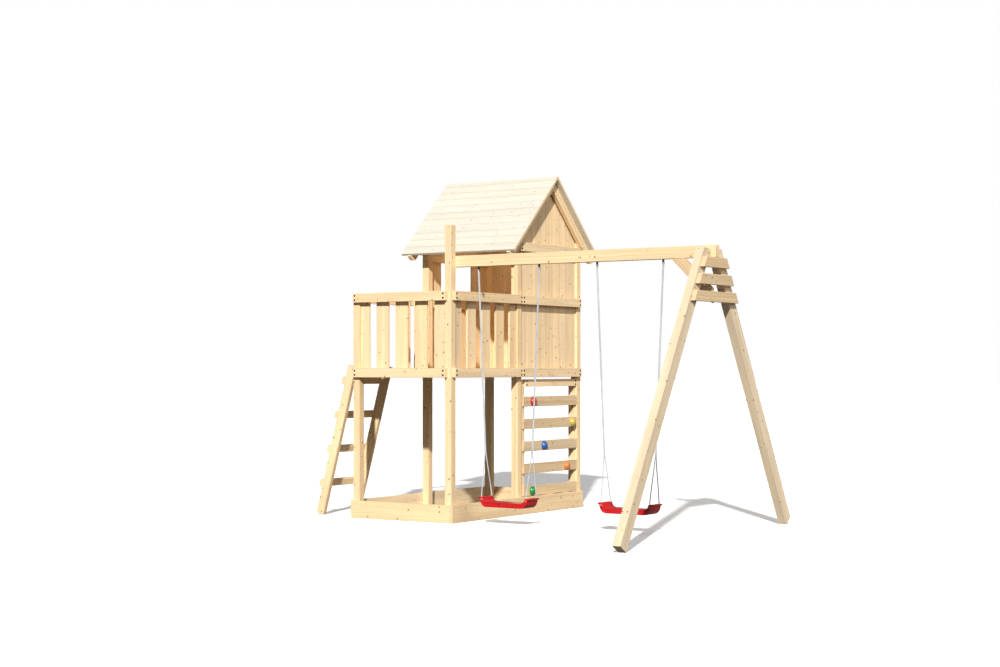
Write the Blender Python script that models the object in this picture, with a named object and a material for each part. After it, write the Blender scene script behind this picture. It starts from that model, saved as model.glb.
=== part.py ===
"""Playhouse on posts with a balcony, ladder, climbing wall, sandbox and double swing.

Lengths are in metres and +Z is up. Sizes are written in the tower's own frame: x = 0 is the
right face of the tower, y = 0 is its front face and z = 0 is the ground. One empty carries
everything and moves the middle of the footprint onto the world origin.
"""
import math

import bmesh
import bpy
from mathutils import Matrix, Vector

for old in list(bpy.data.objects):
    bpy.data.objects.remove(old, do_unlink=True)

# Clearances and small edges
GAP = 0.0003
OVERLAP = 0.0005
EASE = 0.002
SEAM = 0.0015

# Posts
POST = 0.068
TOWER_WIDTH = 1.064
BAY = 1.044
FLOOR_RAIL_TOP = 1.328
HAND_RAIL_TOP = 1.991
POST_HOUSE_TOP = 2.545
POST_LEFT_FRONT_TOP = HAND_RAIL_TOP - 0.006
POST_OVER_BEAM = 0.265

# Rails: section, and how far their ends stay inside the tower's corners
RAIL_DEPTH = 0.038
RAIL_HEIGHT = 0.082
FRONT_RAIL_LEFT_INSET = 0.021
FRONT_RAIL_RIGHT_INSET = 0.038
RIGHT_RAIL_FRONT_INSET = 0.010
LEFT_RAIL_FRONT_INSET = 0.047
SIDE_RAIL_BACK_INSET = 0.046

# Upright boards and the battens that hold them
THIN_BOARD = 0.019
RECESS = 0.019
BATTEN_HEIGHT = 0.060
BATTEN_DEPTH = 0.030
UPRIGHT_LOW = FLOOR_RAIL_TOP - 0.078
BATTEN_LOW = FLOOR_RAIL_TOP - 0.066
BATTEN_MID = HAND_RAIL_TOP - 0.066
BALUSTER_TOP = HAND_RAIL_TOP - 0.004
FRONT_BALUSTERS = {"first": 0.097, "width": 0.132, "gap": 0.0782}
RIGHT_BALUSTERS = {"first": 0.114, "width": 0.131, "gap": 0.0923}
LEFT_BALUSTER_WIDTH = 0.117
LEFT_BALUSTER_GAP = 0.077
LEFT_BALUSTER_COUNT = 2

# Sandbox
SAND_BOARD_HEIGHT = 0.153
SAND_RIGHT_BACK_INSET = 0.015

# Roof
ROOF_SLOPE = math.atan(0.9657)
ROOF_BOARD = 0.020
ROOF_PLANK_WIDTH = 0.098
ROOF_GROOVE = ROOF_BOARD / 3.0
POST_TO_ROOF = 0.0039
EAVE_OVERHANG = 0.190
RIGHT_GABLE_OVERHANG = 0.0896
LEFT_GABLE_OVERHANG = 0.1076
RAFTER_LOWER_EDGE = 0.095
RAFTER_OVERRUN = 0.012
RAFTER_TIP_CUT = 0.0194
GABLE_RAIL_TOP = POST_HOUSE_TOP - 0.072

# House walls
WALL_FIRST_BOARD = 0.080
WALL_BOARD = 0.1205
LEFT_WALL_FRONT_BOARD = 0.100
LEFT_WALL_BACK_BOARD = 0.123
BACK_WALL_BOARD = 0.115
BACK_RAIL_INSET = 0.021
WINDOW_FRONT = 0.205
WINDOW_BACK = 0.248
WINDOW_SILL = HAND_RAIL_TOP - 0.031
WINDOW_HEAD = GABLE_RAIL_TOP - 0.143
CLEAT_INSET = 0.080
CLEAT_HEIGHT = 0.050

# Floor
FLOOR_TOP = FLOOR_RAIL_TOP - 0.010
FLOOR_BOARD = 0.022
FLOOR_BOARD_WIDTH = 0.093
FLOOR_GAP = 0.005
JOIST_COUNT = 4

# Climbing wall
LEFT_STILE_DEPTH = 0.040
RIGHT_STILE_DEPTH = 0.064
RIGHT_STILE_WIDTH = THIN_BOARD
CLIMB_BOARD = 0.0197
CLIMB_HEIGHT = 0.092
CLIMB_FIRST_Z = 0.202
CLIMB_PITCH = 0.2052
CLIMB_BOARD_INSET = 0.036
CLIMB_TOP_INSET = 0.066
CLIMB_TOP = FLOOR_RAIL_TOP - 0.102
CLIMB_TOP_BOARD = 0.068
HOLD_RADIUS = 0.0375
HOLD_HEIGHT_RATIO = 1.147
HOLD_DEPTH = 0.040
HOLD_BOLT_HOLE = 0.0075
HOLD_BOLT_FLOOR = 0.024
HOLDS = (("green", 0.172), ("orange", 0.777), ("blue", 0.378), ("yellow", 0.881), ("red", 0.189))

# Ladder
LADDER_TILT = math.radians(15.5)
LADDER_TOP = FLOOR_RAIL_TOP + 0.006
LADDER_NEAR = 0.075
LADDER_WIDTH = 0.551
TREAD_DEPTH = 0.036
TREAD_HEIGHT = 0.060
TREAD_FIRST_Z = 0.286
TREAD_PITCH = 0.310
TREAD_COUNT = 4

# Swing frame
BEAM_LOW = 2.197
BEAM_HEIGHT = 0.096
BEAM_END = 2.479
LEG_LEFT_FACE = BEAM_END - 0.108
LEG_DEPTH = 0.105
LEG_SPREAD_PER_HEIGHT = 0.5964
LEG_MEET = BEAM_LOW + 0.057
LEG_TOP = BEAM_LOW + 0.073
LEG_TOP_FALL = 0.010
PLANK_PITCH = 0.1345
PLANK_COUNT = 3
PLANK_END_INSET = 0.016
BRACE_REACH = 0.290

# Swings
SWING_CENTRES = (0.5226, 1.694)
HOOK_SPREAD = 0.3055
HOOK_DROP = 0.037
HOOK_WIRE = 0.0025
HOOK_HALF_WIDTH = 0.0083
HOOK_RING_HEIGHT = 0.0205
HOOK_CORNER = 0.004
HOOK_STEM = 0.004
HOOK_WASHER = 0.010
HOOK_WASHER_DEPTH = 0.003
ROPE_RADIUS = 0.005
ROPE_POINT_SPACING = 0.16
SEAT_HALF_LENGTH = 0.251
SEAT_DEPTH = 0.175
SEAT_BOTTOM = BEAM_LOW - HOOK_DROP - 2.0085
SEAT_TOP = SEAT_BOTTOM + 0.041
SEAT_WING_TOP = SEAT_BOTTOM + 0.0845
SEAT_FLANGE = 0.014
SEAT_FLANGE_INNER = 0.213
SEAT_FLAT_BOTTOM = 0.177
SEAT_FLAT_TOP = 0.165
SEAT_CURVE_END = 0.237
SEAT_EASE = 0.003
SEAT_CURVE_STEPS = 5

# Places that follow from the sizes above
POST_X = {"left": -TOWER_WIDTH, "right": -POST}
POST_Y = {"front": 0.0, "mid": BAY, "back": 2.0 * BAY}
TOWER_BACK = 2.0 * BAY + POST
HOUSE_HALF = (BAY + POST) / 2.0
RIDGE_Y = BAY + HOUSE_HALF
RIDGE_Z = (POST_HOUSE_TOP + POST_TO_ROOF + HOUSE_HALF * math.tan(ROOF_SLOPE)
           + ROOF_BOARD / math.cos(ROOF_SLOPE))
ROOF_LENGTH = (HOUSE_HALF + EAVE_OVERHANG) / math.cos(ROOF_SLOPE)
BAY_LEFT = -TOWER_WIDTH + POST
BAY_RIGHT = -POST
LEFT_OUTER = -TOWER_WIDTH - RAIL_DEPTH
SIDE_RAIL_BACK = TOWER_BACK - SIDE_RAIL_BACK_INSET
BEAM_FRONT = POST + GAP
BEAM_BACK = BEAM_FRONT + POST
BEAM_MIDDLE = POST + POST / 2.0
POST_RIGHT_FRONT_TOP = BEAM_LOW + BEAM_HEIGHT + POST_OVER_BEAM
LEG_SPREAD = BEAM_BACK + GAP - BEAM_MIDDLE + LEG_SPREAD_PER_HEIGHT * LEG_MEET
PLANK_FRONT = LEG_LEFT_FACE + POST + GAP
HOOK_PIVOT_Z = BEAM_LOW - HOOK_DROP
LADDER_FOOT_X = LEFT_OUTER - GAP - FLOOR_RAIL_TOP * math.tan(LADDER_TILT)

# A rope's way from the front hole of the seat over the hook and down to the rear hole,
# seen from the pivot: across towards the seat's end, back and up.
ROPE_FRONT_HALF = (
    (0.2245, -0.0775, -1.9234),
    (0.2246, -0.0775, -1.9110),
    (0.2342, -0.0160, -1.6000),
    (0.2360, -0.0078, -1.5500),
    (0.2400, -0.0057, -1.4600),
    (0.2700, -0.0056, -0.7900),
    (0.3030, -0.0062, -0.0600),
    (0.3053, -0.0078, -0.0120),
    (0.3055, -0.0078, 0.0000),
    (0.3055, -0.0055, 0.0055),
)
ROPE_TOP = (0.3055, 0.0, 0.0078)

SPRUCE = ((0.76, 0.51, 0.26), 0.62, 0.0)
ROOF_SPRUCE = ((0.82, 0.62, 0.36), 0.60, 0.0)
WHITE_ROPE = ((0.80, 0.79, 0.75), 0.85, 0.0)
BLACK_STEEL = ((0.03, 0.03, 0.03), 0.40, 1.0)
RED_PLASTIC = ((0.60, 0.02, 0.02), 0.22, 0.0)
HOLD_COLOURS = {
    "green": (0.10, 0.42, 0.06),
    "orange": (0.80, 0.22, 0.02),
    "blue": (0.02, 0.14, 0.55),
    "yellow": (0.85, 0.60, 0.03),
    "red": (0.62, 0.03, 0.03),
}


def own_material(name, finish):
    """Principled material of one sub-part: colour, roughness and metallic value."""
    colour, roughness, metallic = finish
    material = bpy.data.materials.new(name)
    material.use_nodes = True
    shader = material.node_tree.nodes["Principled BSDF"]
    shader.inputs["Base Color"].default_value = (*colour, 1.0)
    shader.inputs["Roughness"].default_value = roughness
    shader.inputs["Metallic"].default_value = metallic
    material.diffuse_color = (*colour, 1.0)
    return material


def empty(name, location, parent=None):
    """A bare axis that other objects hang on."""
    holder = bpy.data.objects.new(name, None)
    bpy.context.scene.collection.objects.link(holder)
    holder.parent = parent
    holder.location = location
    return holder


def add_part(name, mesh, finish, parent, parent_place=(0.0, 0.0, 0.0)):
    """Name a mesh as a sub-part, with its origin in the middle of its own box."""
    low = Vector([min(vertex.co[axis] for vertex in mesh.vertices) for axis in range(3)])
    high = Vector([max(vertex.co[axis] for vertex in mesh.vertices) for axis in range(3)])
    middle = (low + high) / 2.0
    mesh.transform(Matrix.Translation(-middle))
    mesh.name = name
    mesh.materials.append(own_material(name, finish))
    part = bpy.data.objects.new(name, mesh)
    bpy.context.scene.collection.objects.link(part)
    part.parent = parent
    part.location = middle - Vector(parent_place)
    return part


def prism(outline, axis, span, ease=0.0):
    """A solid with the given outline, drawn out along one axis between two values.

    The outline's two numbers are the other two axes in the order x, y, z.
    """
    spot = "XYZ".index(axis)
    form = bmesh.new()
    corners = []
    for pair in outline:
        corner = list(pair)
        corner.insert(spot, span[0])
        corners.append(form.verts.new(corner))
    face = form.faces.new(corners)
    grown = bmesh.ops.extrude_face_region(form, geom=[face])
    moved = [item for item in grown["geom"] if isinstance(item, bmesh.types.BMVert)]
    step = Vector((0.0, 0.0, 0.0))
    step[spot] = span[1] - span[0]
    bmesh.ops.translate(form, vec=step, verts=moved)
    if ease:
        bmesh.ops.bevel(form, geom=form.edges[:], offset=ease, segments=1, affect="EDGES")
    bmesh.ops.recalc_face_normals(form, faces=form.faces[:])
    mesh = bpy.data.meshes.new("prism")
    form.to_mesh(mesh)
    form.free()
    return mesh


def box(x_span, y_span, z_span, ease=EASE):
    """A straight piece of timber between three pairs of values."""
    x_low, x_high = x_span
    z_low, z_high = z_span
    outline = ((x_low, z_low), (x_high, z_low), (x_high, z_high), (x_low, z_high))
    return prism(outline, "Y", y_span, ease)


def joined(meshes):
    """One closed mesh from closed meshes that overlap, by exact Boolean unions."""
    helpers = []
    for mesh in meshes:
        helper = bpy.data.objects.new("joining", mesh)
        bpy.context.scene.collection.objects.link(helper)
        helpers.append(helper)
    body = helpers[0]
    for other in helpers[1:]:
        union = body.modifiers.new("join", "BOOLEAN")
        union.operation = "UNION"
        union.solver = "EXACT"
        union.object = other
    bpy.context.view_layer.update()
    depsgraph = bpy.context.evaluated_depsgraph_get()
    mesh = bpy.data.meshes.new_from_object(body.evaluated_get(depsgraph))
    for helper in helpers:
        bpy.data.objects.remove(helper, do_unlink=True)
    return mesh


def circle(middle, radius, count=12):
    """Outline of a round bar."""
    turn = 2.0 * math.pi / count
    return [
        (middle[0] + radius * math.cos(turn * step), middle[1] + radius * math.sin(turn * step))
        for step in range(count)
    ]


def divided(low, high, first, width, gap):
    """Spans of boards from low to high: a first width, then equal ones, then what is left."""
    spans = [(low, low + first)]
    start = low + first + gap
    while start + width + gap < high:
        spans.append((start, start + width))
        start += width + gap
    spans.append((start, high))
    return spans


def roof_point(along, below, side):
    """(y, z) of a point of the roof: distance down the slope, depth under its top, side -1 or 1."""
    y = RIDGE_Y + side * (along * math.cos(ROOF_SLOPE) - below * math.sin(ROOF_SLOPE))
    z = RIDGE_Z - along * math.sin(ROOF_SLOPE) - below * math.cos(ROOF_SLOPE)
    return y, z


def roof_height(y, below):
    """Height at y of the surface that lies at the given depth under the roof's top."""
    drop = abs(y - RIDGE_Y) * math.tan(ROOF_SLOPE)
    return RIDGE_Z - drop - below / math.cos(ROOF_SLOPE)


def ridge_start(below):
    """Distance down the slope at which a plumb cut beside the ridge meets a given depth."""
    return (GAP / 2.0 + below * math.sin(ROOF_SLOPE)) / math.cos(ROOF_SLOPE)


def make_posts(root):
    """Six square posts; the front right one is the tall one beside the swing beam."""
    tops = {("front", "left"): POST_LEFT_FRONT_TOP, ("front", "right"): POST_RIGHT_FRONT_TOP}
    for row, y in POST_Y.items():
        for side, x in POST_X.items():
            top = tops.get((row, side), POST_HOUSE_TOP)
            mesh = box((x, x + POST), (y, y + POST), (0.0, top))
            add_part(f"post_{row}_{side}", mesh, SPRUCE, root)


def make_sandbox(root):
    """Four edge boards on the ground; the right one covers the end of the front one."""
    height = (0.0, SAND_BOARD_HEIGHT)
    front = box((-TOWER_WIDTH, 0.0), (-RAIL_DEPTH, -GAP), height)
    right_length = (-RAIL_DEPTH, TOWER_BACK - SAND_RIGHT_BACK_INSET)
    right = box((GAP, RAIL_DEPTH), right_length, height)
    left = box((LEFT_OUTER, -TOWER_WIDTH - GAP), (POST / 2.0, TOWER_BACK), height)
    back = box((-TOWER_WIDTH, 0.0), (TOWER_BACK + GAP, TOWER_BACK + RAIL_DEPTH), height)
    add_part("sandbox_front_board", front, SPRUCE, root)
    add_part("sandbox_right_board", right, SPRUCE, root)
    add_part("sandbox_left_board", left, SPRUCE, root)
    add_part("sandbox_back_board", back, SPRUCE, root)


def rail_height(top):
    """Height span of a rail with its top at the given height."""
    return top - RAIL_HEIGHT, top


def baluster_row(spans, across, face, inward):
    """Upright boards behind the post faces, held by two battens hidden on their inner side."""
    front = face + inward * RECESS
    back = front + inward * THIN_BOARD
    batten_back = face + inward * POST
    depth = tuple(sorted((front, back)))
    batten_depth = tuple(sorted((back - inward * OVERLAP, batten_back)))
    whole = (spans[0][0], spans[-1][1])
    meshes = []
    for low in (BATTEN_LOW, BATTEN_MID):
        height = (low, low + BATTEN_HEIGHT)
        if across == "X":
            meshes.append(box(whole, batten_depth, height, 0.0))
        else:
            meshes.append(box(batten_depth, whole, height, 0.0))
    for span in spans:
        height = (UPRIGHT_LOW, BALUSTER_TOP)
        if across == "X":
            meshes.append(box(span, depth, height))
        else:
            meshes.append(box(depth, span, height))
    return joined(meshes)


def make_balcony(root):
    """Rails and balusters of the balcony's front and right sides."""
    front_x = (-TOWER_WIDTH + FRONT_RAIL_LEFT_INSET, -FRONT_RAIL_RIGHT_INSET)
    right_y = (RIGHT_RAIL_FRONT_INSET, BAY + POST / 2.0 - GAP / 2.0)
    for name, top in (("top", HAND_RAIL_TOP), ("lower", FLOOR_RAIL_TOP)):
        front = box(front_x, (-RAIL_DEPTH, -GAP), rail_height(top))
        add_part(f"balcony_front_{name}_rail", front, SPRUCE, root)
        right = box((GAP, RAIL_DEPTH), right_y, rail_height(top))
        add_part(f"balcony_right_{name}_rail", right, SPRUCE, root)
    front_spans = divided(BAY_LEFT + GAP, BAY_RIGHT - GAP, **FRONT_BALUSTERS)
    front_row = baluster_row(front_spans, "X", 0.0, 1.0)
    add_part("balcony_front_balusters", front_row, SPRUCE, root)
    right_spans = divided(POST + GAP, BAY - GAP, **RIGHT_BALUSTERS)
    right_row = baluster_row(right_spans, "Y", 0.0, -1.0)
    add_part("balcony_right_balusters", right_row, SPRUCE, root)


def make_left_railing(root):
    """Two long rails on the left faces of the posts, with the two boards beside the ladder."""
    rails = (LEFT_OUTER, -TOWER_WIDTH - GAP)
    boards = (-TOWER_WIDTH - GAP - OVERLAP, -TOWER_WIDTH + THIN_BOARD)
    length = (LEFT_RAIL_FRONT_INSET, SIDE_RAIL_BACK)
    meshes = [box(rails, length, rail_height(top)) for top in (FLOOR_RAIL_TOP, HAND_RAIL_TOP)]
    end = BAY - RECESS
    for _ in range(LEFT_BALUSTER_COUNT):
        span = (end - LEFT_BALUSTER_WIDTH, end)
        meshes.append(box(boards, span, (UPRIGHT_LOW, BALUSTER_TOP - OVERLAP)))
        end = span[0] - LEFT_BALUSTER_GAP
    add_part("left_railing", joined(meshes), SPRUCE, root)


def gable_board(depth, span, low):
    """Upright wall board between two y values, its top cut to the underside of the roof."""
    below = ROOF_BOARD + GAP
    start, end = span
    outline = [(start, low), (end, low), (end, roof_height(end, below))]
    if start < RIDGE_Y < end:
        outline.append((RIDGE_Y, roof_height(RIDGE_Y, below)))
    outline.append((start, roof_height(start, below)))
    return prism(outline, "X", depth)


def house_spans():
    """y spans of the upright wall boards between the mid and the back posts."""
    low = BAY + POST + GAP
    high = 2.0 * BAY - GAP
    return divided(low, high, WALL_FIRST_BOARD, WALL_BOARD - SEAM, SEAM)


def gable_rail_outline():
    """(y, z) outline of the board at eaves height, its front top corner cut under the rafter."""
    low, top = rail_height(GABLE_RAIL_TOP)
    under = RAFTER_LOWER_EDGE + OVERLAP
    start = BAY
    end = SIDE_RAIL_BACK
    cut_y = RIDGE_Y - (roof_height(RIDGE_Y, under) - top) / math.tan(ROOF_SLOPE)
    return [(start, low), (end, low), (end, top), (cut_y, top), (start, roof_height(start, under))]


def make_house_right(root):
    """Right wall: upright boards up to the roof, and three rails on the faces of the posts."""
    outer = -RECESS
    inner = outer - THIN_BOARD
    meshes = []
    length = (house_spans()[0][0], house_spans()[-1][1])
    for low in (BATTEN_LOW, BATTEN_MID, GABLE_RAIL_TOP - RAIL_HEIGHT):
        meshes.append(box((-POST, inner + OVERLAP), length, (low, low + BATTEN_HEIGHT), 0.0))
    for span in house_spans():
        meshes.append(gable_board((inner, outer), span, UPRIGHT_LOW))
    add_part("house_right_wall", joined(meshes), SPRUCE, root)
    length = (BAY + POST / 2.0 + GAP / 2.0, SIDE_RAIL_BACK)
    for name, top in (("top", HAND_RAIL_TOP), ("lower", FLOOR_RAIL_TOP)):
        rail = box((GAP, RAIL_DEPTH), length, rail_height(top))
        add_part(f"house_right_{name}_rail", rail, SPRUCE, root)
    gable = prism(gable_rail_outline(), "X", (GAP, RAIL_DEPTH), EASE)
    add_part("house_right_gable_rail", gable, SPRUCE, root)


def make_house_left(root):
    """Left wall: upright boards round a window, the gable above it and the gable's rail."""
    outer = -TOWER_WIDTH
    inner = outer + THIN_BOARD
    spans = house_spans()
    start = spans[0][0]
    end = spans[-1][1]
    window = (start + WINDOW_FRONT, end - WINDOW_BACK)
    meshes = []
    for low in (BATTEN_LOW, WINDOW_SILL - BATTEN_HEIGHT, WINDOW_HEAD):
        height = (low, low + BATTEN_HEIGHT)
        meshes.append(box((inner - OVERLAP, inner + BATTEN_DEPTH), (start, end), height, 0.0))
    front_board = LEFT_WALL_FRONT_BOARD
    back_board = LEFT_WALL_BACK_BOARD
    beside = divided(start, window[0], front_board, front_board, SEAM)
    beside += divided(window[1], end, back_board, back_board, SEAM)
    for span in beside:
        meshes.append(gable_board((outer, inner), span, UPRIGHT_LOW))
    middle = divided(window[0] + SEAM, window[1] - SEAM, WALL_BOARD, WALL_BOARD, SEAM)
    for span in middle:
        meshes.append(box((outer, inner), span, (UPRIGHT_LOW, WINDOW_SILL), 0.0))
        meshes.append(gable_board((outer, inner), span, WINDOW_HEAD))
    rail = prism(gable_rail_outline(), "X", (LEFT_OUTER, -TOWER_WIDTH - GAP), EASE)
    cleat_low = GABLE_RAIL_TOP - RAIL_HEIGHT / 2.0 - CLEAT_HEIGHT / 2.0
    cleat_depth = (LEFT_OUTER + RAIL_DEPTH / 2.0, inner - THIN_BOARD / 2.0)
    cleat_length = (start + CLEAT_INSET, end - CLEAT_INSET)
    cleat = box(cleat_depth, cleat_length, (cleat_low, cleat_low + CLEAT_HEIGHT), 0.0)
    meshes.append(rail)
    meshes.append(cleat)
    add_part("house_left_wall", joined(meshes), SPRUCE, root)


def make_house_back(root):
    """Back wall: upright boards between the back posts, with a rail at the floor and the eaves."""
    boards = (TOWER_BACK - THIN_BOARD, TOWER_BACK + GAP + OVERLAP)
    rails = (TOWER_BACK + GAP, TOWER_BACK + RAIL_DEPTH)
    start = BAY_LEFT + GAP
    end = BAY_RIGHT - GAP
    meshes = []
    for top in (FLOOR_RAIL_TOP, GABLE_RAIL_TOP):
        rail_length = (-TOWER_WIDTH + BACK_RAIL_INSET, -BACK_RAIL_INSET)
        meshes.append(box(rail_length, rails, rail_height(top)))
    for span in divided(start, end, BACK_WALL_BOARD, BACK_WALL_BOARD, SEAM):
        meshes.append(box(span, boards, (UPRIGHT_LOW, POST_HOUSE_TOP), 0.0))
    add_part("house_back_wall", joined(meshes), SPRUCE, root)


def make_floor(root):
    """Floor boards of balcony and house on joists, let in between the posts."""
    height = (FLOOR_TOP - FLOOR_BOARD, FLOOR_TOP)
    right = BAY_RIGHT - GAP
    left_between_posts = BAY_LEFT + GAP
    left_in_bay = -TOWER_WIDTH + THIN_BOARD + GAP
    length = (POST + GAP, TOWER_BACK - THIN_BOARD - GAP)
    joist_height = (UPRIGHT_LOW, height[0] + OVERLAP)
    joist_pitch = (right - RAIL_DEPTH - left_between_posts) / (JOIST_COUNT - 1)
    meshes = []
    for number in range(JOIST_COUNT):
        x = left_between_posts + number * joist_pitch
        meshes.append(box((x, x + RAIL_DEPTH), length, joist_height, 0.0))
    width = FLOOR_BOARD_WIDTH
    for span in divided(POST + GAP, BAY - GAP, width, width, FLOOR_GAP):
        meshes.append(box((left_in_bay, right), span, height, 0.0))
    between = (BAY + FLOOR_GAP, BAY + POST - FLOOR_GAP)
    behind = (2.0 * BAY + FLOOR_GAP, length[1])
    house = divided(BAY + POST + GAP, 2.0 * BAY - GAP, width, width, FLOOR_GAP)
    for span in [between, *house, behind]:
        meshes.append(box((left_between_posts, right), span, height, 0.0))
    add_part("floor_deck", joined(meshes), SPRUCE, root)


def roof_slope(side):
    """Planks of one slope with a groove at every joint, and its two rafters."""
    outline = [roof_point(ridge_start(0.0), 0.0, side)]
    joints = int((ROOF_LENGTH - ridge_start(ROOF_GROOVE) - SEAM) / ROOF_PLANK_WIDTH)
    for step in range(joints, 0, -1):
        along = ROOF_LENGTH - step * ROOF_PLANK_WIDTH
        outline.append(roof_point(along - SEAM, 0.0, side))
        outline.append(roof_point(along, ROOF_GROOVE, side))
        outline.append(roof_point(along + SEAM, 0.0, side))
    outline.append(roof_point(ROOF_LENGTH, 0.0, side))
    outline.append(roof_point(ROOF_LENGTH, ROOF_BOARD, side))
    outline.append(roof_point(ridge_start(ROOF_BOARD), ROOF_BOARD, side))
    planks = prism(outline, "X", (-TOWER_WIDTH - LEFT_GABLE_OVERHANG, RIGHT_GABLE_OVERHANG))

    upper = ROOF_BOARD - OVERLAP
    end = ROOF_LENGTH + RAFTER_OVERRUN
    tip_depth = RAFTER_LOWER_EDGE - RAFTER_TIP_CUT / math.cos(ROOF_SLOPE)
    tip_along = end - RAFTER_TIP_CUT / math.sin(ROOF_SLOPE)
    rafter = [
        roof_point(ridge_start(upper), upper, side),
        roof_point(end, upper, side),
        roof_point(end, tip_depth, side),
        roof_point(tip_along, RAFTER_LOWER_EDGE, side),
        roof_point(ridge_start(RAFTER_LOWER_EDGE), RAFTER_LOWER_EDGE, side),
    ]
    right = prism(rafter, "X", (GAP, RAIL_DEPTH))
    left = prism(rafter, "X", (LEFT_OUTER, -TOWER_WIDTH - GAP))
    return joined([planks, right, left])


def make_roof(root):
    """Two slopes that meet in a plumb cut at the ridge."""
    add_part("roof_front_slope", roof_slope(-1.0), ROOF_SPRUCE, root)
    add_part("roof_back_slope", roof_slope(1.0), ROOF_SPRUCE, root)


def hold_mesh(y, z):
    """A rounded climbing hold on the right face of the wall, with a sunk hole for its bolt."""
    profile = [(0.0, HOLD_RADIUS)]
    rings = 6
    top_angle = math.acos(HOLD_BOLT_HOLE / HOLD_RADIUS)
    for step in range(1, rings + 1):
        angle = top_angle * step / rings
        profile.append((HOLD_DEPTH * math.sin(angle) ** 0.8, HOLD_RADIUS * math.cos(angle)))
    profile.append((HOLD_BOLT_FLOOR, HOLD_BOLT_HOLE))
    profile.append((HOLD_BOLT_FLOOR, 0.0))
    profile.insert(0, (0.0, 0.0))
    form = bmesh.new()
    verts = [form.verts.new((out, 0.0, radius)) for out, radius in profile]
    edges = [form.edges.new(pair) for pair in zip(verts, verts[1:])]
    bmesh.ops.spin(form, geom=verts + edges, cent=(0, 0, 0), axis=(1, 0, 0),
                   angle=2.0 * math.pi, steps=20, use_merge=True)
    bmesh.ops.remove_doubles(form, verts=form.verts[:], dist=0.00001)
    bmesh.ops.scale(form, vec=(1.0, 1.0, HOLD_HEIGHT_RATIO), verts=form.verts[:])
    bmesh.ops.translate(form, vec=(0.0, y, z), verts=form.verts[:])
    bmesh.ops.recalc_face_normals(form, faces=form.faces[:])
    mesh = bpy.data.meshes.new("hold")
    form.to_mesh(mesh)
    form.free()
    mesh.shade_smooth()
    mesh.set_sharp_from_angle(angle=math.radians(40.0))
    return mesh


def make_climbing_wall(root):
    """Two stiles and their top board, five boards with wide gaps, and one hold on each."""
    board = (-GAP - CLIMB_BOARD, -GAP)
    stile_face = board[0] - GAP
    low_y = BAY + POST + GAP
    high_y = 2.0 * BAY - GAP
    board_y = (low_y + CLIMB_BOARD_INSET, high_y)
    top_board = box((stile_face - OVERLAP, board[1]), (low_y + CLIMB_TOP_INSET, high_y),
                    (CLIMB_TOP - CLIMB_TOP_BOARD, CLIMB_TOP))
    stile_height = (0.0, CLIMB_TOP - EASE)
    left_stile = box((stile_face - LEFT_STILE_DEPTH, stile_face),
                     (low_y, low_y + RAIL_HEIGHT), stile_height)
    right_stile = box((stile_face - RIGHT_STILE_DEPTH, stile_face),
                      (high_y - RIGHT_STILE_WIDTH, high_y), stile_height)
    add_part("climbing_frame", joined([top_board, left_stile, right_stile]), SPRUCE, root)
    for number, (colour, along) in enumerate(HOLDS):
        z = CLIMB_FIRST_Z + number * CLIMB_PITCH
        mesh = box(board, board_y, (z - CLIMB_HEIGHT / 2.0, z + CLIMB_HEIGHT / 2.0))
        add_part(f"climbing_board_{number + 1}", mesh, SPRUCE, root)
        finish = (HOLD_COLOURS[colour], 0.35, 0.0)
        hold = hold_mesh(BAY + POST + along, z)
        add_part(f"climbing_hold_{colour}", hold, finish, root)


def ladder_point(along, out):
    """(x, z) on the ladder: distance up its inner edge and distance out from that edge."""
    x = LADDER_FOOT_X + along * math.sin(LADDER_TILT) - out * math.cos(LADDER_TILT)
    z = along * math.cos(LADDER_TILT) + out * math.sin(LADDER_TILT)
    return x, z


def ladder_outline(start, end, inner, outer):
    """Four corners of a piece that lies along the ladder."""
    return [
        ladder_point(start, inner),
        ladder_point(end, inner),
        ladder_point(end, outer),
        ladder_point(start, outer),
    ]


def make_ladder(root):
    """Two leaning rails and four treads on their outer edges."""
    length = LADDER_TOP / math.cos(LADDER_TILT)
    outline = ladder_outline(0.0, length, 0.0, RAIL_HEIGHT)
    near = (LADDER_NEAR, LADDER_NEAR + RAIL_DEPTH)
    far = (LADDER_NEAR + LADDER_WIDTH - RAIL_DEPTH, LADDER_NEAR + LADDER_WIDTH)
    add_part("ladder_near_rail", prism(outline, "Y", near), SPRUCE, root)
    add_part("ladder_far_rail", prism(outline, "Y", far), SPRUCE, root)
    inner = RAIL_HEIGHT + GAP
    outer = inner + TREAD_DEPTH
    rise = (inner + TREAD_DEPTH / 2.0) * math.sin(LADDER_TILT)
    half = TREAD_HEIGHT / 2.0
    for number in range(TREAD_COUNT):
        height = TREAD_FIRST_Z + number * TREAD_PITCH
        middle = (height - rise) / math.cos(LADDER_TILT)
        corners = ladder_outline(middle - half, middle + half, inner, outer)
        mesh = prism(corners, "Y", (near[0], far[1]), EASE)
        add_part(f"ladder_tread_{number + 1}", mesh, SPRUCE, root)


def leg_outer(z):
    """Distance of a leg's outer face from the middle of the beam, at a height."""
    lean = math.atan(LEG_SPREAD_PER_HEIGHT)
    foot_out = LEG_SPREAD + LEG_DEPTH * math.cos(lean)
    return foot_out - LEG_SPREAD_PER_HEIGHT * (z - LEG_DEPTH * math.sin(lean))


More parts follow.
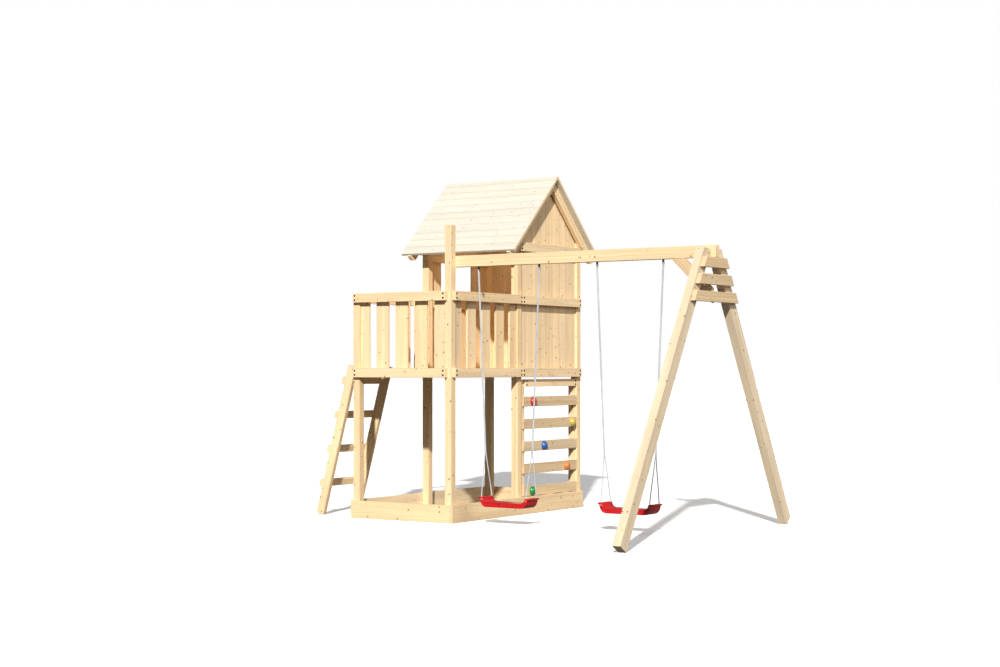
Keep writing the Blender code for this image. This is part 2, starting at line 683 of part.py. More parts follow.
def leg_outline(side):
    """(y, z) outline of a leg: square foot, sloping top, cut plumb where it meets the beam."""
    lean = math.atan(LEG_SPREAD_PER_HEIGHT)
    if side > 0.0:
        beam_side = BEAM_BACK + GAP - BEAM_MIDDLE
    else:
        beam_side = BEAM_MIDDLE - (BEAM_FRONT - GAP)
    foot_rise = LEG_DEPTH * math.sin(lean)
    meet_z = (LEG_SPREAD - beam_side) / LEG_SPREAD_PER_HEIGHT
    corners = [
        (LEG_SPREAD, 0.0),
        (leg_outer(foot_rise), foot_rise),
        (leg_outer(LEG_TOP), LEG_TOP),
        (beam_side, LEG_TOP - LEG_TOP_FALL),
        (beam_side, meet_z),
    ]
    return [(BEAM_MIDDLE + side * out, z) for out, z in corners]


def plank_end(z):
    """Distance of a cross plank's end from the middle of the beam, at a height."""
    return leg_outer(z) - PLANK_END_INSET


def make_swing_frame(root):
    """Beam, two splayed legs, three cross planks and one knee brace."""
    beam = box((-POST, BEAM_END), (BEAM_FRONT, BEAM_BACK), (BEAM_LOW, BEAM_LOW + BEAM_HEIGHT))
    add_part("swing_beam", beam, SPRUCE, root)
    legs_x = (LEG_LEFT_FACE, LEG_LEFT_FACE + POST)
    add_part("swing_leg_near", prism(leg_outline(-1.0), "X", legs_x), SPRUCE, root)
    add_part("swing_leg_far", prism(leg_outline(1.0), "X", legs_x), SPRUCE, root)
    for number in range(PLANK_COUNT):
        top = BEAM_LOW - GAP - number * PLANK_PITCH
        low = top - RAIL_HEIGHT
        outline = [
            (BEAM_MIDDLE - plank_end(low), low),
            (BEAM_MIDDLE + plank_end(low), low),
            (BEAM_MIDDLE + plank_end(top), top),
            (BEAM_MIDDLE - plank_end(top), top),
        ]
        mesh = prism(outline, "X", (PLANK_FRONT, PLANK_FRONT + RAIL_DEPTH), EASE)
        add_part(f"swing_plank_{number + 1}", mesh, SPRUCE, root)
    top = BEAM_LOW - GAP
    end = PLANK_FRONT - GAP
    start = LEG_LEFT_FACE - BRACE_REACH
    drop = end - start
    across = RAIL_HEIGHT * math.sqrt(2.0)
    outline = [(start, top), (end, top - drop), (end, top - drop + across), (start + across, top)]
    depth = (BEAM_MIDDLE - RAIL_DEPTH / 2.0, BEAM_MIDDLE + RAIL_DEPTH / 2.0)
    add_part("swing_brace", prism(outline, "Y", depth), SPRUCE, root)


def curve_mesh(points, radius, cyclic):
    """Closed mesh of a round bar or rope along a run of points."""
    data = bpy.data.curves.new("run", "CURVE")
    data.dimensions = "3D"
    data.bevel_depth = radius
    data.bevel_resolution = 2
    data.use_fill_caps = True
    spline = data.splines.new("POLY")
    spline.points.add(len(points) - 1)
    for target, point in zip(spline.points, points):
        target.co = (*point, 1.0)
    spline.use_cyclic_u = cyclic
    helper = bpy.data.objects.new("run", data)
    bpy.context.scene.collection.objects.link(helper)
    bpy.context.view_layer.update()
    mesh = bpy.data.meshes.new_from_object(helper.evaluated_get(bpy.context.evaluated_depsgraph_get()))
    bpy.data.objects.remove(helper, do_unlink=True)
    form = bmesh.new()
    form.from_mesh(mesh)
    bmesh.ops.remove_doubles(form, verts=form.verts[:], dist=0.00001)
    form.to_mesh(mesh)
    form.free()
    mesh.shade_smooth()
    mesh.set_sharp_from_angle(angle=math.radians(50.0))
    return mesh


def hook_mesh(x):
    """Closed steel eye with a stem and a washer under the beam."""
    ring = []
    half = HOOK_HALF_WIDTH - HOOK_CORNER
    middle = HOOK_RING_HEIGHT / 2.0
    rise = middle - HOOK_CORNER
    for quarter, (side, up) in enumerate(((1, -1), (1, 1), (-1, 1), (-1, -1))):
        for step in range(5):
            angle = math.radians(-90.0 + 90.0 * quarter + 22.5 * step)
            across = side * half + HOOK_CORNER * math.cos(angle)
            height = middle + up * rise + HOOK_CORNER * math.sin(angle)
            ring.append((x + across, BEAM_MIDDLE, HOOK_PIVOT_Z + height))
    wire = curve_mesh(ring, HOOK_WIRE, True)
    top = BEAM_LOW - GAP
    stem_low = HOOK_PIVOT_Z + HOOK_RING_HEIGHT
    stem = prism(circle((x, BEAM_MIDDLE), HOOK_STEM), "Z", (stem_low, top - HOOK_WASHER_DEPTH / 2.0))
    washer = prism(circle((x, BEAM_MIDDLE), HOOK_WASHER, 16), "Z", (top - HOOK_WASHER_DEPTH, top))
    return joined([wire, stem, washer])


def smooth_route(route, spacing):
    """Points on a centripetal Catmull-Rom curve through the route, about one per spacing."""
    knots = [Vector(point) for point in route]
    knots = [2.0 * knots[0] - knots[1]] + knots + [2.0 * knots[-1] - knots[-2]]
    points = [knots[1]]
    for p0, p1, p2, p3 in zip(knots, knots[1:], knots[2:], knots[3:]):
        t1 = math.sqrt((p1 - p0).length)
        t2 = t1 + math.sqrt((p2 - p1).length)
        t3 = t2 + math.sqrt((p3 - p2).length)
        count = max(2, round((p2 - p1).length / spacing))
        for step in range(1, count + 1):
            t = t1 + (t2 - t1) * step / count
            a1 = p0 * ((t1 - t) / t1) + p1 * (t / t1)
            a2 = p1 * ((t2 - t) / (t2 - t1)) + p2 * ((t - t1) / (t2 - t1))
            a3 = p2 * ((t3 - t) / (t3 - t2)) + p3 * ((t - t2) / (t3 - t2))
            b1 = a1 * ((t2 - t) / t2) + a2 * (t / t2)
            b2 = a2 * ((t3 - t) / (t3 - t1)) + a3 * ((t - t1) / (t3 - t1))
            points.append(b1 * ((t2 - t) / (t2 - t1)) + b2 * ((t - t1) / (t2 - t1)))
    return points


def rope_mesh(centre_x, side):
    """One doubled rope, from the seat's front hole over the hook to its rear hole."""
    back_half = [(across, -back, up) for across, back, up in reversed(ROPE_FRONT_HALF)]
    route = []
    for across, back, up in list(ROPE_FRONT_HALF) + [ROPE_TOP] + back_half:
        route.append((centre_x + side * across, BEAM_MIDDLE + back, HOOK_PIVOT_Z + up))
    return curve_mesh(smooth_route(route, ROPE_POINT_SPACING), ROPE_RADIUS, False)


def seat_mesh(centre_x):
    """Moulded seat: a flat middle and two raised ends that carry the ropes."""
    half = []
    for step in range(SEAT_CURVE_STEPS + 1):
        angle = math.radians(90.0 * step / SEAT_CURVE_STEPS)
        x = SEAT_FLAT_BOTTOM + (SEAT_CURVE_END - SEAT_FLAT_BOTTOM) * math.sin(angle)
        z = SEAT_BOTTOM + (SEAT_WING_TOP - SEAT_FLANGE - SEAT_BOTTOM) * (1.0 - math.cos(angle))
        half.append((x, z))
    half.append((SEAT_HALF_LENGTH, SEAT_WING_TOP - SEAT_FLANGE))
    half.append((SEAT_HALF_LENGTH, SEAT_WING_TOP))
    for step in range(SEAT_CURVE_STEPS + 1):
        angle = math.radians(90.0 * step / SEAT_CURVE_STEPS)
        x = SEAT_FLAT_TOP + (SEAT_FLANGE_INNER - SEAT_FLAT_TOP) * math.cos(angle)
        z = SEAT_WING_TOP - (SEAT_WING_TOP - SEAT_TOP) * math.sin(angle)
        half.append((x, z))
    outline = [(centre_x + x, z) for x, z in half]
    outline += [(centre_x - x, z) for x, z in reversed(half)]
    depth = (BEAM_MIDDLE - SEAT_DEPTH / 2.0, BEAM_MIDDLE + SEAT_DEPTH / 2.0)
    return prism(outline, "Y", depth, SEAT_EASE)


def make_swings(root):
    """Two swings: hooks fixed to the beam, and a seat on two doubled ropes that turns below them."""
    for number, centre_x in enumerate(SWING_CENTRES, start=1):
        pivot_place = (centre_x, BEAM_MIDDLE, HOOK_PIVOT_Z)
        pivot = empty(f"swing_{number}_pivot", pivot_place, root)
        seat = seat_mesh(centre_x)
        add_part(f"swing_{number}_seat", seat, RED_PLASTIC, pivot, pivot_place)
        for word, side in (("left", -1.0), ("right", 1.0)):
            hook = hook_mesh(centre_x + side * HOOK_SPREAD)
            add_part(f"swing_{number}_hook_{word}", hook, BLACK_STEEL, root)
            rope = rope_mesh(centre_x, side)
            add_part(f"swing_{number}_rope_{word}", rope, WHITE_ROPE, pivot, pivot_place)


def build():
    """Everything under one empty that puts the footprint's middle on the world origin."""
    lean = math.atan(LEG_SPREAD_PER_HEIGHT)
    ladder_end = LADDER_FOOT_X - RAIL_HEIGHT * math.cos(LADDER_TILT)
    leg_front = BEAM_MIDDLE - LEG_SPREAD - LEG_DEPTH * math.cos(lean)
    roof_back = roof_point(ROOF_LENGTH, 0.0, 1.0)[0]
    middle_x = (ladder_end + BEAM_END) / 2.0
    middle_y = (leg_front + roof_back) / 2.0
    root = empty("playhouse", (-middle_x, -middle_y, 0.0))
    make_posts(root)
    make_sandbox(root)
    make_balcony(root)
    make_left_railing(root)
    make_house_right(root)
    make_house_left(root)
    make_house_back(root)
    make_floor(root)
    make_roof(root)
    make_climbing_wall(root)
    make_ladder(root)
    make_swing_frame(root)
    make_swings(root)


build()
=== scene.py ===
# %% [markdown]
# # Stilt playhouse: the looks
# This lesson dresses the CAD part in Blender and sets up its picture.
# The imported model comes in first, as a fixed frame that nothing here moves or changes.
# Every new piece is made beside it, in the same places and sizes, and rides on one of its bodies.

# %% Load the imported frame
import math
import bpy
from mathutils import Matrix, Vector


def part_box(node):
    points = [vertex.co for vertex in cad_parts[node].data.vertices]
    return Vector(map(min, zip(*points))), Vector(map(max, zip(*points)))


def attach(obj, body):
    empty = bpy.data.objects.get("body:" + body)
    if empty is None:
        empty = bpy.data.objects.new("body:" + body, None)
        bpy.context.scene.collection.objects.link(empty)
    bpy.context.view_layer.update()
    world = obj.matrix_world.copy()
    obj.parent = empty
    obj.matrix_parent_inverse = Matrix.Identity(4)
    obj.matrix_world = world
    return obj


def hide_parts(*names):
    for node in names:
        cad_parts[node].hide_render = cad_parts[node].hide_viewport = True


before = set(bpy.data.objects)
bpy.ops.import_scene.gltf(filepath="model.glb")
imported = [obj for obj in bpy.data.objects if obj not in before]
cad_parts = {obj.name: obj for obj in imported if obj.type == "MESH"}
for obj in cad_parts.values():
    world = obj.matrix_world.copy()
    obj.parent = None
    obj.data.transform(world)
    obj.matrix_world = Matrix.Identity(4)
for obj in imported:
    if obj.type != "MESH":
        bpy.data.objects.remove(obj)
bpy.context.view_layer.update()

# %% [markdown]
# The tower's own corner is the handiest place to measure from.
# Here x is 0 on its right face and falls to the left, and y is 0 on its front face and grows to
# the back. The front right post has both faces, so its box says where that corner is.

# %% Tower coordinates
post_low, post_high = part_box("post_front_right")
TOWER_RIGHT = post_high.x
TOWER_FRONT = post_low.y


def tower(x, y, z):
    """A point given from the tower's front right corner, as a point of the scene."""
    return Vector((TOWER_RIGHT + x, TOWER_FRONT + y, z))


print("tower corner at", tower(0.0, 0.0, 0.0))

# %% [markdown]
# The photo was taken from well in front and to the right, with the camera held level.
# The roof's slopes, the level rails and the legs' feet fix its place and its lens. A level camera
# keeps the posts upright in the picture, and a small upward shift then frames the whole house.

# %% Camera
CAMERA_TURN = math.radians(33.55)
bpy.ops.object.camera_add(
    location=tower(8.6101, -12.2261, 1.3238), rotation=(math.radians(90.0), 0.0, CAMERA_TURN)
)
camera = bpy.context.object
camera.name = "photo_camera"
camera.data.sensor_width = 36.0
camera.data.lens = 62.80
camera.data.shift_y = 0.0351
camera.data.clip_end = 500.0
bpy.context.scene.camera = camera
print("camera at", camera.location)

# %% [markdown]
# Each seat hangs on two doubled ropes. A rope starts in a hole at the front of the seat's end,
# climbs to the hook, turns over it and comes down to the rear hole. Its way is given by a few
# points from the CAD source, seen from the hook: across, back and up. The points are joined by a
# smooth curve, which is sampled every 3 mm so that the strands can be laid round it.

# %% The ropes' way
ROPE_SAMPLE = 0.003
HOLE_ACROSS = 0.2245
HOLE_BACK = 0.0775
ROPE_FRONT_HALF = (
    (0.2245, -0.0775, -1.9380),
    (0.2245, -0.0775, -1.9234),
    (0.2246, -0.0775, -1.9110),
    (0.2342, -0.0160, -1.6000),
    (0.2360, -0.0078, -1.5500),
    (0.2400, -0.0057, -1.4600),
    (0.2700, -0.0056, -0.7900),
    (0.3030, -0.0062, -0.0600),
    (0.3053, -0.0078, -0.0120),
    (0.3055, -0.0078, 0.0000),
    (0.3055, -0.0055, 0.0055),
)
ROPE_TOP = (0.3055, 0.0, 0.0078)


def smooth_route(route, spacing):
    """Points on a centripetal Catmull-Rom curve through the route, about one per spacing."""
    knots = [Vector(point) for point in route]
    knots = [2.0 * knots[0] - knots[1]] + knots + [2.0 * knots[-1] - knots[-2]]
    points = [knots[1]]
    for p0, p1, p2, p3 in zip(knots, knots[1:], knots[2:], knots[3:]):
        t1 = math.sqrt((p1 - p0).length)
        t2 = t1 + math.sqrt((p2 - p1).length)
        t3 = t2 + math.sqrt((p3 - p2).length)
        count = max(2, round((p2 - p1).length / spacing))
        for step in range(1, count + 1):
            t = t1 + (t2 - t1) * step / count
            a1 = p0 * ((t1 - t) / t1) + p1 * (t / t1)
            a2 = p1 * ((t2 - t) / (t2 - t1)) + p2 * ((t - t1) / (t2 - t1))
            a3 = p2 * ((t3 - t) / (t3 - t2)) + p3 * ((t - t2) / (t3 - t2))
            b1 = a1 * ((t2 - t) / t2) + a2 * (t / t2)
            b2 = a2 * ((t3 - t) / (t3 - t1)) + a3 * ((t - t1) / (t3 - t1))
            points.append(b1 * ((t2 - t) / (t2 - t1)) + b2 * ((t - t1) / (t2 - t1)))
    return points


def swing_pivot(number):
    """Middle between the two hooks of a swing, at the height that the swing turns about."""
    wire_radius = 0.0025
    left_low, left_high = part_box(f"swing_{number}_hook_left")
    right_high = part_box(f"swing_{number}_hook_right")[1]
    return Vector((
        (left_low.x + right_high.x) / 2.0,
        (left_low.y + left_high.y) / 2.0,
        left_low.z + wire_radius,
    ))


def rope_points(pivot, side):
    """The whole way of one doubled rope. Side is -1 for the left rope and 1 for the right one."""
    back_half = [(across, -back, up) for across, back, up in reversed(ROPE_FRONT_HALF)]
    route = []
    for across, back, up in list(ROPE_FRONT_HALF) + [ROPE_TOP] + back_half:
        route.append(pivot + Vector((side * across, back, up)))
    return smooth_route(route, ROPE_SAMPLE)


for number in (1, 2):
    print("swing", number, "turns about", swing_pivot(number))

# %% [markdown]
# The rope is laid of three strands. Its section is the outline of three round strands pressed
# together, and Blender sweeps that section along the curve. Turning each point of the curve a
# little further than the one before lays the strands round one another, as in a real rope.
# The swept curve is then turned into a mesh, and the section that shaped it is deleted.

# %% Lay the four ropes
STRAND_CENTRE = 0.0023
STRAND_RADIUS = 0.0027
ROPE_LAY = 0.040
SECTION_POINTS = 18


def strand_radius(angle):
    """Distance from the rope's middle to its surface, in the direction of an angle."""
    third = 2.0 * math.pi / 3.0
    off = (angle + third / 2.0) % third - third / 2.0
    return STRAND_CENTRE * math.cos(off) + math.sqrt(
        STRAND_RADIUS ** 2 - (STRAND_CENTRE * math.sin(off)) ** 2
    )


def poly_curve(name, points, cyclic):
    """A curve object of straight stretches through the points."""
    data = bpy.data.curves.new(name, "CURVE")
    data.dimensions = "3D"
    spline = data.splines.new("POLY")
    spline.points.add(len(points) - 1)
    for target, point in zip(spline.points, points):
        target.co = (*point, 1.0)
    spline.use_cyclic_u = cyclic
    curve = bpy.data.objects.new(name, data)
    bpy.context.scene.collection.objects.link(curve)
    return curve


def length_of(points):
    """Length of the line through the points."""
    return sum((b - a).length for a, b in zip(points, points[1:]))


def remove(piece):
    """Deletes an object that has done its work."""
    bpy.data.objects.remove(piece, do_unlink=True)


def lay_rope(name, points):
    """A closed mesh of a three-strand rope along the points."""
    outline = []
    for step in range(SECTION_POINTS):
        angle = 2.0 * math.pi * step / SECTION_POINTS
        radius = strand_radius(angle)
        outline.append((radius * math.cos(angle), radius * math.sin(angle), 0.0))
    section = poly_curve(name + "_section", outline, True)
    rope = poly_curve(name, points, False)
    rope.data.bevel_mode = "OBJECT"
    rope.data.bevel_object = section
    rope.data.use_fill_caps = True
    walked = 0.0
    previous = points[0]
    for target, point in zip(rope.data.splines[0].points, points):
        walked += (point - previous).length
        target.tilt = 2.0 * math.pi * walked / ROPE_LAY
        previous = point
    bpy.ops.object.select_all(action="DESELECT")
    rope.select_set(True)
    bpy.context.view_layer.objects.active = rope
    bpy.ops.object.convert(target="MESH")
    remove(section)
    bpy.ops.object.mode_set(mode="EDIT")
    bpy.ops.mesh.select_all(action="SELECT")
    bpy.ops.mesh.remove_doubles(threshold=0.00001)
    bpy.ops.mesh.normals_make_consistent(inside=False)
    bpy.ops.object.mode_set(mode="OBJECT")
    bpy.ops.object.shade_smooth_by_angle(angle=math.radians(60.0))
    return rope


ropes = {}
rope_ways = {}
for number in (1, 2):
    pivot = swing_pivot(number)
    for word, side in (("left", -1.0), ("right", 1.0)):
        name = f"rope_{number}_{word}"
        rope_ways[name] = rope_points(pivot, side)
        ropes[name] = lay_rope(name, rope_ways[name])
        print(name, "is", round(length_of(rope_ways[name]), 3), "m long,",
              len(ropes[name].data.polygons), "faces")

# %% [markdown]
# Under the seat's flange a stopper knot keeps each rope end from slipping out of its hole.
# The knot is two small rings of rope across each other with the cut end below them. It is
# modelled once, and a copy goes to each of the eight holes.

# %% Stopper knots
KNOT_HEIGHT = -1.9430
KNOT_RING = 0.0062
KNOT_ROPE = 0.0042


def select_only(piece):
    """Makes one object the only selected and the active one."""
    bpy.ops.object.select_all(action="DESELECT")
    piece.select_set(True)
    bpy.context.view_layer.objects.active = piece


def join(pieces, name):
    """Joins objects into one that has its origin at the world's."""
    bpy.ops.object.select_all(action="DESELECT")
    for piece in pieces:
        piece.select_set(True)
    bpy.context.view_layer.objects.active = pieces[0]
    bpy.ops.object.join()
    bpy.ops.object.transform_apply(location=True, rotation=True, scale=True)
    joined = bpy.context.object
    joined.name = name
    joined.data.name = name
    return joined


def make_knot():
    """The model of the knot, at the world's origin."""
    parts = []
    for turn in ((0.0, 0.0, 0.0), (math.radians(68.0), 0.0, math.radians(25.0))):
        bpy.ops.mesh.primitive_torus_add(
            major_radius=KNOT_RING, minor_radius=KNOT_ROPE, major_segments=20,
            minor_segments=10, location=(0.0, 0.0, 0.0), rotation=turn
        )
        parts.append(bpy.context.object)
    bpy.ops.mesh.primitive_cylinder_add(
        vertices=12, radius=0.0046, depth=0.022, location=(0.001, 0.0, -0.009),
        rotation=(0.0, math.radians(12.0), 0.0)
    )
    parts.append(bpy.context.object)
    knot = join(parts, "knot_model")
    bpy.ops.object.shade_smooth_by_angle(angle=math.radians(50.0))
    return knot


def copy_to(model, name, place, turn=None):
    """A copy of a model with its own mesh, turned and moved in the mesh itself."""
    piece = model.copy()
    piece.data = model.data.copy()
    piece.name = name
    piece.data.name = name
    bpy.context.scene.collection.objects.link(piece)
    move = Matrix.Translation(place)
    if turn is not None:
        move = move @ turn
    piece.data.transform(move)
    return piece


knot_model = make_knot()
knots = {}
for number in (1, 2):
    pivot = swing_pivot(number)
    for word, side in (("left", -1.0), ("right", 1.0)):
        pair = []
        for end, back in (("front", -HOLE_BACK), ("rear", HOLE_BACK)):
            place = pivot + Vector((side * HOLE_ACROSS, back, KNOT_HEIGHT))
            pair.append(copy_to(knot_model, f"knot_{number}_{word}_{end}", place))
        knots[f"rope_{number}_{word}"] = pair
remove(knot_model)
print("knots:", sum(len(pair) for pair in knots.values()))

# %% [markdown]
# Now each rope and its knots ride on the swing's body. The rope leaves the seat at the front hole,
# goes back into the object at the rear one and takes the place of the CAD rope, which is hidden.

for number in (1, 2):
    for word in ("left", "right"):
        name = f"rope_{number}_{word}"
        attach(ropes[name], f"swing_{number}")
        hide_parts(f"swing_{number}_rope_{word}")
        for knot in knots[name]:
            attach(knot, f"swing_{number}")
print("cords declared:", len(ropes))

# %% [markdown]
# The photo has one strong light from the front, about 28 degrees to the right and 29 degrees
# high. A sun lamp does that work. Its disc is only a little wider than the real sun's, so the
# shadows under the rails stay crisp. A weak second lamp from the right lifts the tower's side,
# and a small warm one under the roof shows the inside of the house.
# In the photo neither the beam nor the ropes throw a shadow on the tower, so the main lamp is
# told to pass them by.

# %% Lamps
HOUSE_LIGHT = 2.2
HOUSE_LIGHT_SIZE = 0.7
HOUSE_LIGHT_HEIGHT = 2.55
HOUSE_LIGHT_FORWARD = 0.55


def sun_lamp(name, side, height, strength, disc, colour):
    """A sun lamp: degrees to the right of the front, degrees of height, strength, width, colour."""
    turn = (math.radians(90.0 - height), 0.0, math.radians(side))
    bpy.ops.object.light_add(type="SUN", location=(4.0, -6.0, 8.0), rotation=turn)
    lamp = bpy.context.object
    lamp.name = name
    lamp.data.energy = strength
    lamp.data.angle = math.radians(disc)
    lamp.data.color = colour
    print(name, "strength", strength)
    return lamp


key_light = sun_lamp("key_light", 28.0, 29.0, 5.2, 1.6, (1.0, 0.985, 0.955))
sun_lamp("side_light", 80.0, 22.0, 0.80, 30.0, (1.0, 0.97, 0.93))

passed_by = bpy.data.collections.new("key_light_passes_by")
for piece in [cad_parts["swing_beam"]] + list(ropes.values()):
    passed_by.objects.link(piece)
for entry in passed_by.collection_objects:
    entry.light_linking.link_state = "EXCLUDE"
key_light.light_linking.blocker_collection = passed_by
print("pieces that the main lamp passes by:", len(passed_by.collection_objects))

house_low, house_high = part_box("house_back_wall")
bpy.ops.object.light_add(
    type="AREA",
    location=((house_low.x + house_high.x) / 2.0, house_low.y - HOUSE_LIGHT_FORWARD, HOUSE_LIGHT_HEIGHT)
)
house_light = bpy.context.object
house_light.name = "house_light"
house_light.data.shape = "RECTANGLE"
house_light.data.size = HOUSE_LIGHT_SIZE
house_light.data.size_y = HOUSE_LIGHT_SIZE
house_light.data.energy = HOUSE_LIGHT
house_light.data.color = (1.0, 0.80, 0.62)

# %% [markdown]
# The camera sees a white studio, but the house gets only a weak light from it, so shadows stay
# deep. The floor has two looks in the same way. The camera sees it pale, with a faint glow that
# keeps it white, and the house sees a dim one. It keeps the object's shadow.

# %% Studio and floor
STUDIO_LIGHT = 0.16
FLOOR_GLOW = 0.26


def set_inputs(node, values):
    """Sets the inputs of a shader node by their names."""
    for name, value in values.items():
        node.inputs[name].default_value = value


def show_to_camera(tree, seen, others, output):
    """Shows one shader to the camera, and the other one to all other rays."""
    path = tree.nodes.new("ShaderNodeLightPath")
    switch = tree.nodes.new("ShaderNodeMixShader")
    tree.links.new(path.outputs["Is Camera Ray"], switch.inputs["Fac"])
    tree.links.new(others.outputs[0], switch.inputs[1])
    tree.links.new(seen.outputs[0], switch.inputs[2])
    tree.links.new(switch.outputs["Shader"], output.inputs["Surface"])


world = bpy.data.worlds.new("studio")
bpy.context.scene.world = world
world.use_nodes = True
world_nodes = world.node_tree.nodes
world_nodes.clear()
white = world_nodes.new("ShaderNodeBackground")
set_inputs(white, {"Color": (1.0, 1.0, 1.0, 1.0), "Strength": 1.0})
weak = world_nodes.new("ShaderNodeBackground")
set_inputs(weak, {"Color": (0.98, 0.99, 1.0, 1.0), "Strength": STUDIO_LIGHT})
show_to_camera(world.node_tree, white, weak, world_nodes.new("ShaderNodeOutputWorld"))

bpy.ops.mesh.primitive_plane_add(size=300.0, location=(0.0, 0.0, -0.001))
floor = bpy.context.object
floor.name = "studio_floor"
floor_material = bpy.data.materials.new("studio_floor")
floor_material.use_nodes = True
floor_tree = floor_material.node_tree
floor_shader = floor_tree.nodes["Principled BSDF"]
set_inputs(floor_shader, {
    "Base Color": (0.92, 0.92, 0.92, 1.0),
    "Emission Color": (1.0, 1.0, 1.0, 1.0),
    "Emission Strength": FLOOR_GLOW,
    "Roughness": 0.9,
    "Specular IOR Level": 0.0,
})
dim_floor = floor_tree.nodes.new("ShaderNodeBsdfDiffuse")
set_inputs(dim_floor, {"Color": (0.18, 0.17, 0.16, 1.0)})
show_to_camera(floor_tree, floor_shader, dim_floor, floor_tree.nodes["Material Output"])
floor.data.materials.append(floor_material)
bpy.context.scene.view_settings.view_transform = "Standard"
print("studio light", STUDIO_LIGHT)

# %% [markdown]
# Materials are made of shader nodes, and a few short helpers join them. With them a recipe
# reads like a sum.

# %% Helpers for shader nodes
def add(tree, kind, **settings):
    """A new shader node with some of its settings changed."""
    node = tree.nodes.new("ShaderNode" + kind)
    for name, value in settings.items():
        setattr(node, name, value)
    return node


def feed(tree, value, socket):
    """Puts a number into an input, or links another node's output to it."""
    if isinstance(value, bpy.types.NodeSocket):
        tree.links.new(value, socket)
    else:
        socket.default_value = value


def maths(tree, operation, first, second=0.0, third=0.0):
    """The result of one Math node."""
    node = add(tree, "Math", operation=operation)
    for value, socket in zip((first, second, third), node.inputs):
        feed(tree, value, socket)
    return node.outputs[0]


def times(tree, first, second):
    """Two numbers multiplied."""
    return maths(tree, "MULTIPLY", first, second)


def vector_maths(tree, operation, first, second):
    """The result of one Vector Math node; a dot product or a length is a number."""
    node = add(tree, "VectorMath", operation=operation)
    feed(tree, first, node.inputs[0])
    feed(tree, second, node.inputs[1])
    single = operation in ("DOT_PRODUCT", "LENGTH")
    return node.outputs["Value"] if single else node.outputs["Vector"]


def combine(tree, x, y, z):
    """A vector of three numbers."""
    node = add(tree, "CombineXYZ")
    for value, socket in zip((x, y, z), node.inputs):
        feed(tree, value, socket)
    return node.outputs[0]


def ramp(tree, value, low, high, start=0.0, end=1.0):
    """A smooth step: start below low, end above high."""
    node = add(tree, "MapRange", interpolation_type="SMOOTHSTEP")
    for name, number in zip(("Value", "From Min", "From Max", "To Min", "To Max"),
                            (value, low, high, start, end)):
        feed(tree, number, node.inputs[name])
    return node.outputs["Result"]


def noise(tree, vector, scale, detail):
    """Soft noise from 0 to 1, mostly near 0.5."""
    node = add(tree, "TexNoise")
    feed(tree, vector, node.inputs["Vector"])
    node.inputs["Scale"].default_value = scale
    node.inputs["Detail"].default_value = detail
    return node.outputs[0]


def mix(tree, amount, first, second, blend="MIX"):
    """Two colours mixed."""
    node = add(tree, "Mix", data_type="RGBA", blend_type=blend)
    feed(tree, amount, node.inputs[0])
    feed(tree, first, node.inputs[6])
    feed(tree, second, node.inputs[7])
    return node.outputs[2]


def grey(tree, value):
    """A number as a grey colour."""
    return combine(tree, value, value, value)


def new_material(name):
    """A new material with its node tree and its main shader."""
    material = bpy.data.materials.new(name)
    material.use_nodes = True
    return material, material.node_tree, material.node_tree.nodes["Principled BSDF"]


def cover(tree, shader, colour, rough, height, strength, distance):
    """Gives a shader its colour and its roughness, and bumps it by the height."""
    bump = add(tree, "Bump")
    set_inputs(bump, {"Strength": strength, "Distance": distance})
    feed(tree, height, bump.inputs["Height"])
    feed(tree, colour, shader.inputs["Base Color"])
    feed(tree, rough, shader.inputs["Roughness"])
    feed(tree, bump.outputs["Normal"], shader.inputs["Normal"])


print("shader helpers ready")

# %% [markdown]
# Everything but the swings is planed spruce. Real boards are cut from a round log, so the
# pattern is made the same way: rings about a pith line that runs along the board, a little
# outside it. Where the board's face cuts the rings they show as long streaks, and at its ends
# they show as arcs, without any extra work. Fine fibres, broad warmer streaks and knots come on
# top. The pattern is one node group, and each board gives it its own place and chance numbers.

# %% The spruce pattern
RING_WIDTH = 0.0058
KNOT_CELLS = 9.0
KNOT_GROWTH = 0.048
KNOT_LEAST = 0.016
LATE_WOOD = 0.44
LATE_WOOD_TINT = (0.80, 0.60, 0.38, 1.0)
WARM_TINT = (1.0, 0.93, 0.80, 1.0)
RING_ROUND_KNOT = 0.42
AMBER = (0.50, 0.26, 0.10, 1.0)
KNOT_DARKNESS = 0.90
KNOT_BROWN = (0.10, 0.040, 0.016, 1.0)


def knot_spots(tree, along, across, shift):
    """Two numbers from one layer of knots: the dark core and the wider amber ring round it."""
    place = vector_maths(tree, "ADD", combine(tree, along, across, 0.0), shift)
    cells = add(tree, "TexVoronoi", voronoi_dimensions="2D")
    feed(tree, place, cells.inputs["Vector"])
    cells.inputs["Scale"].default_value = KNOT_CELLS
    chance = add(tree, "SeparateColor")
    feed(tree, cells.outputs["Color"], chance.inputs[0])
    size = maths(tree, "POWER", chance.outputs[0], 1.4)
    radius = maths(tree, "MULTIPLY_ADD", size, KNOT_GROWTH, KNOT_LEAST)
    wobble = maths(tree, "MULTIPLY_ADD", noise(tree, place, 160.0, 1.0), 0.012, -0.006)
    distance = maths(tree, "ADD", cells.outputs["Distance"], wobble)
    inner = times(tree, radius, 0.72)
    outer = times(tree, radius, 2.6)
    core = maths(tree, "SUBTRACT", 1.0, ramp(tree, distance, inner, radius))
    halo = maths(tree, "SUBTRACT", 1.0, ramp(tree, distance, inner, outer))
    return core, halo


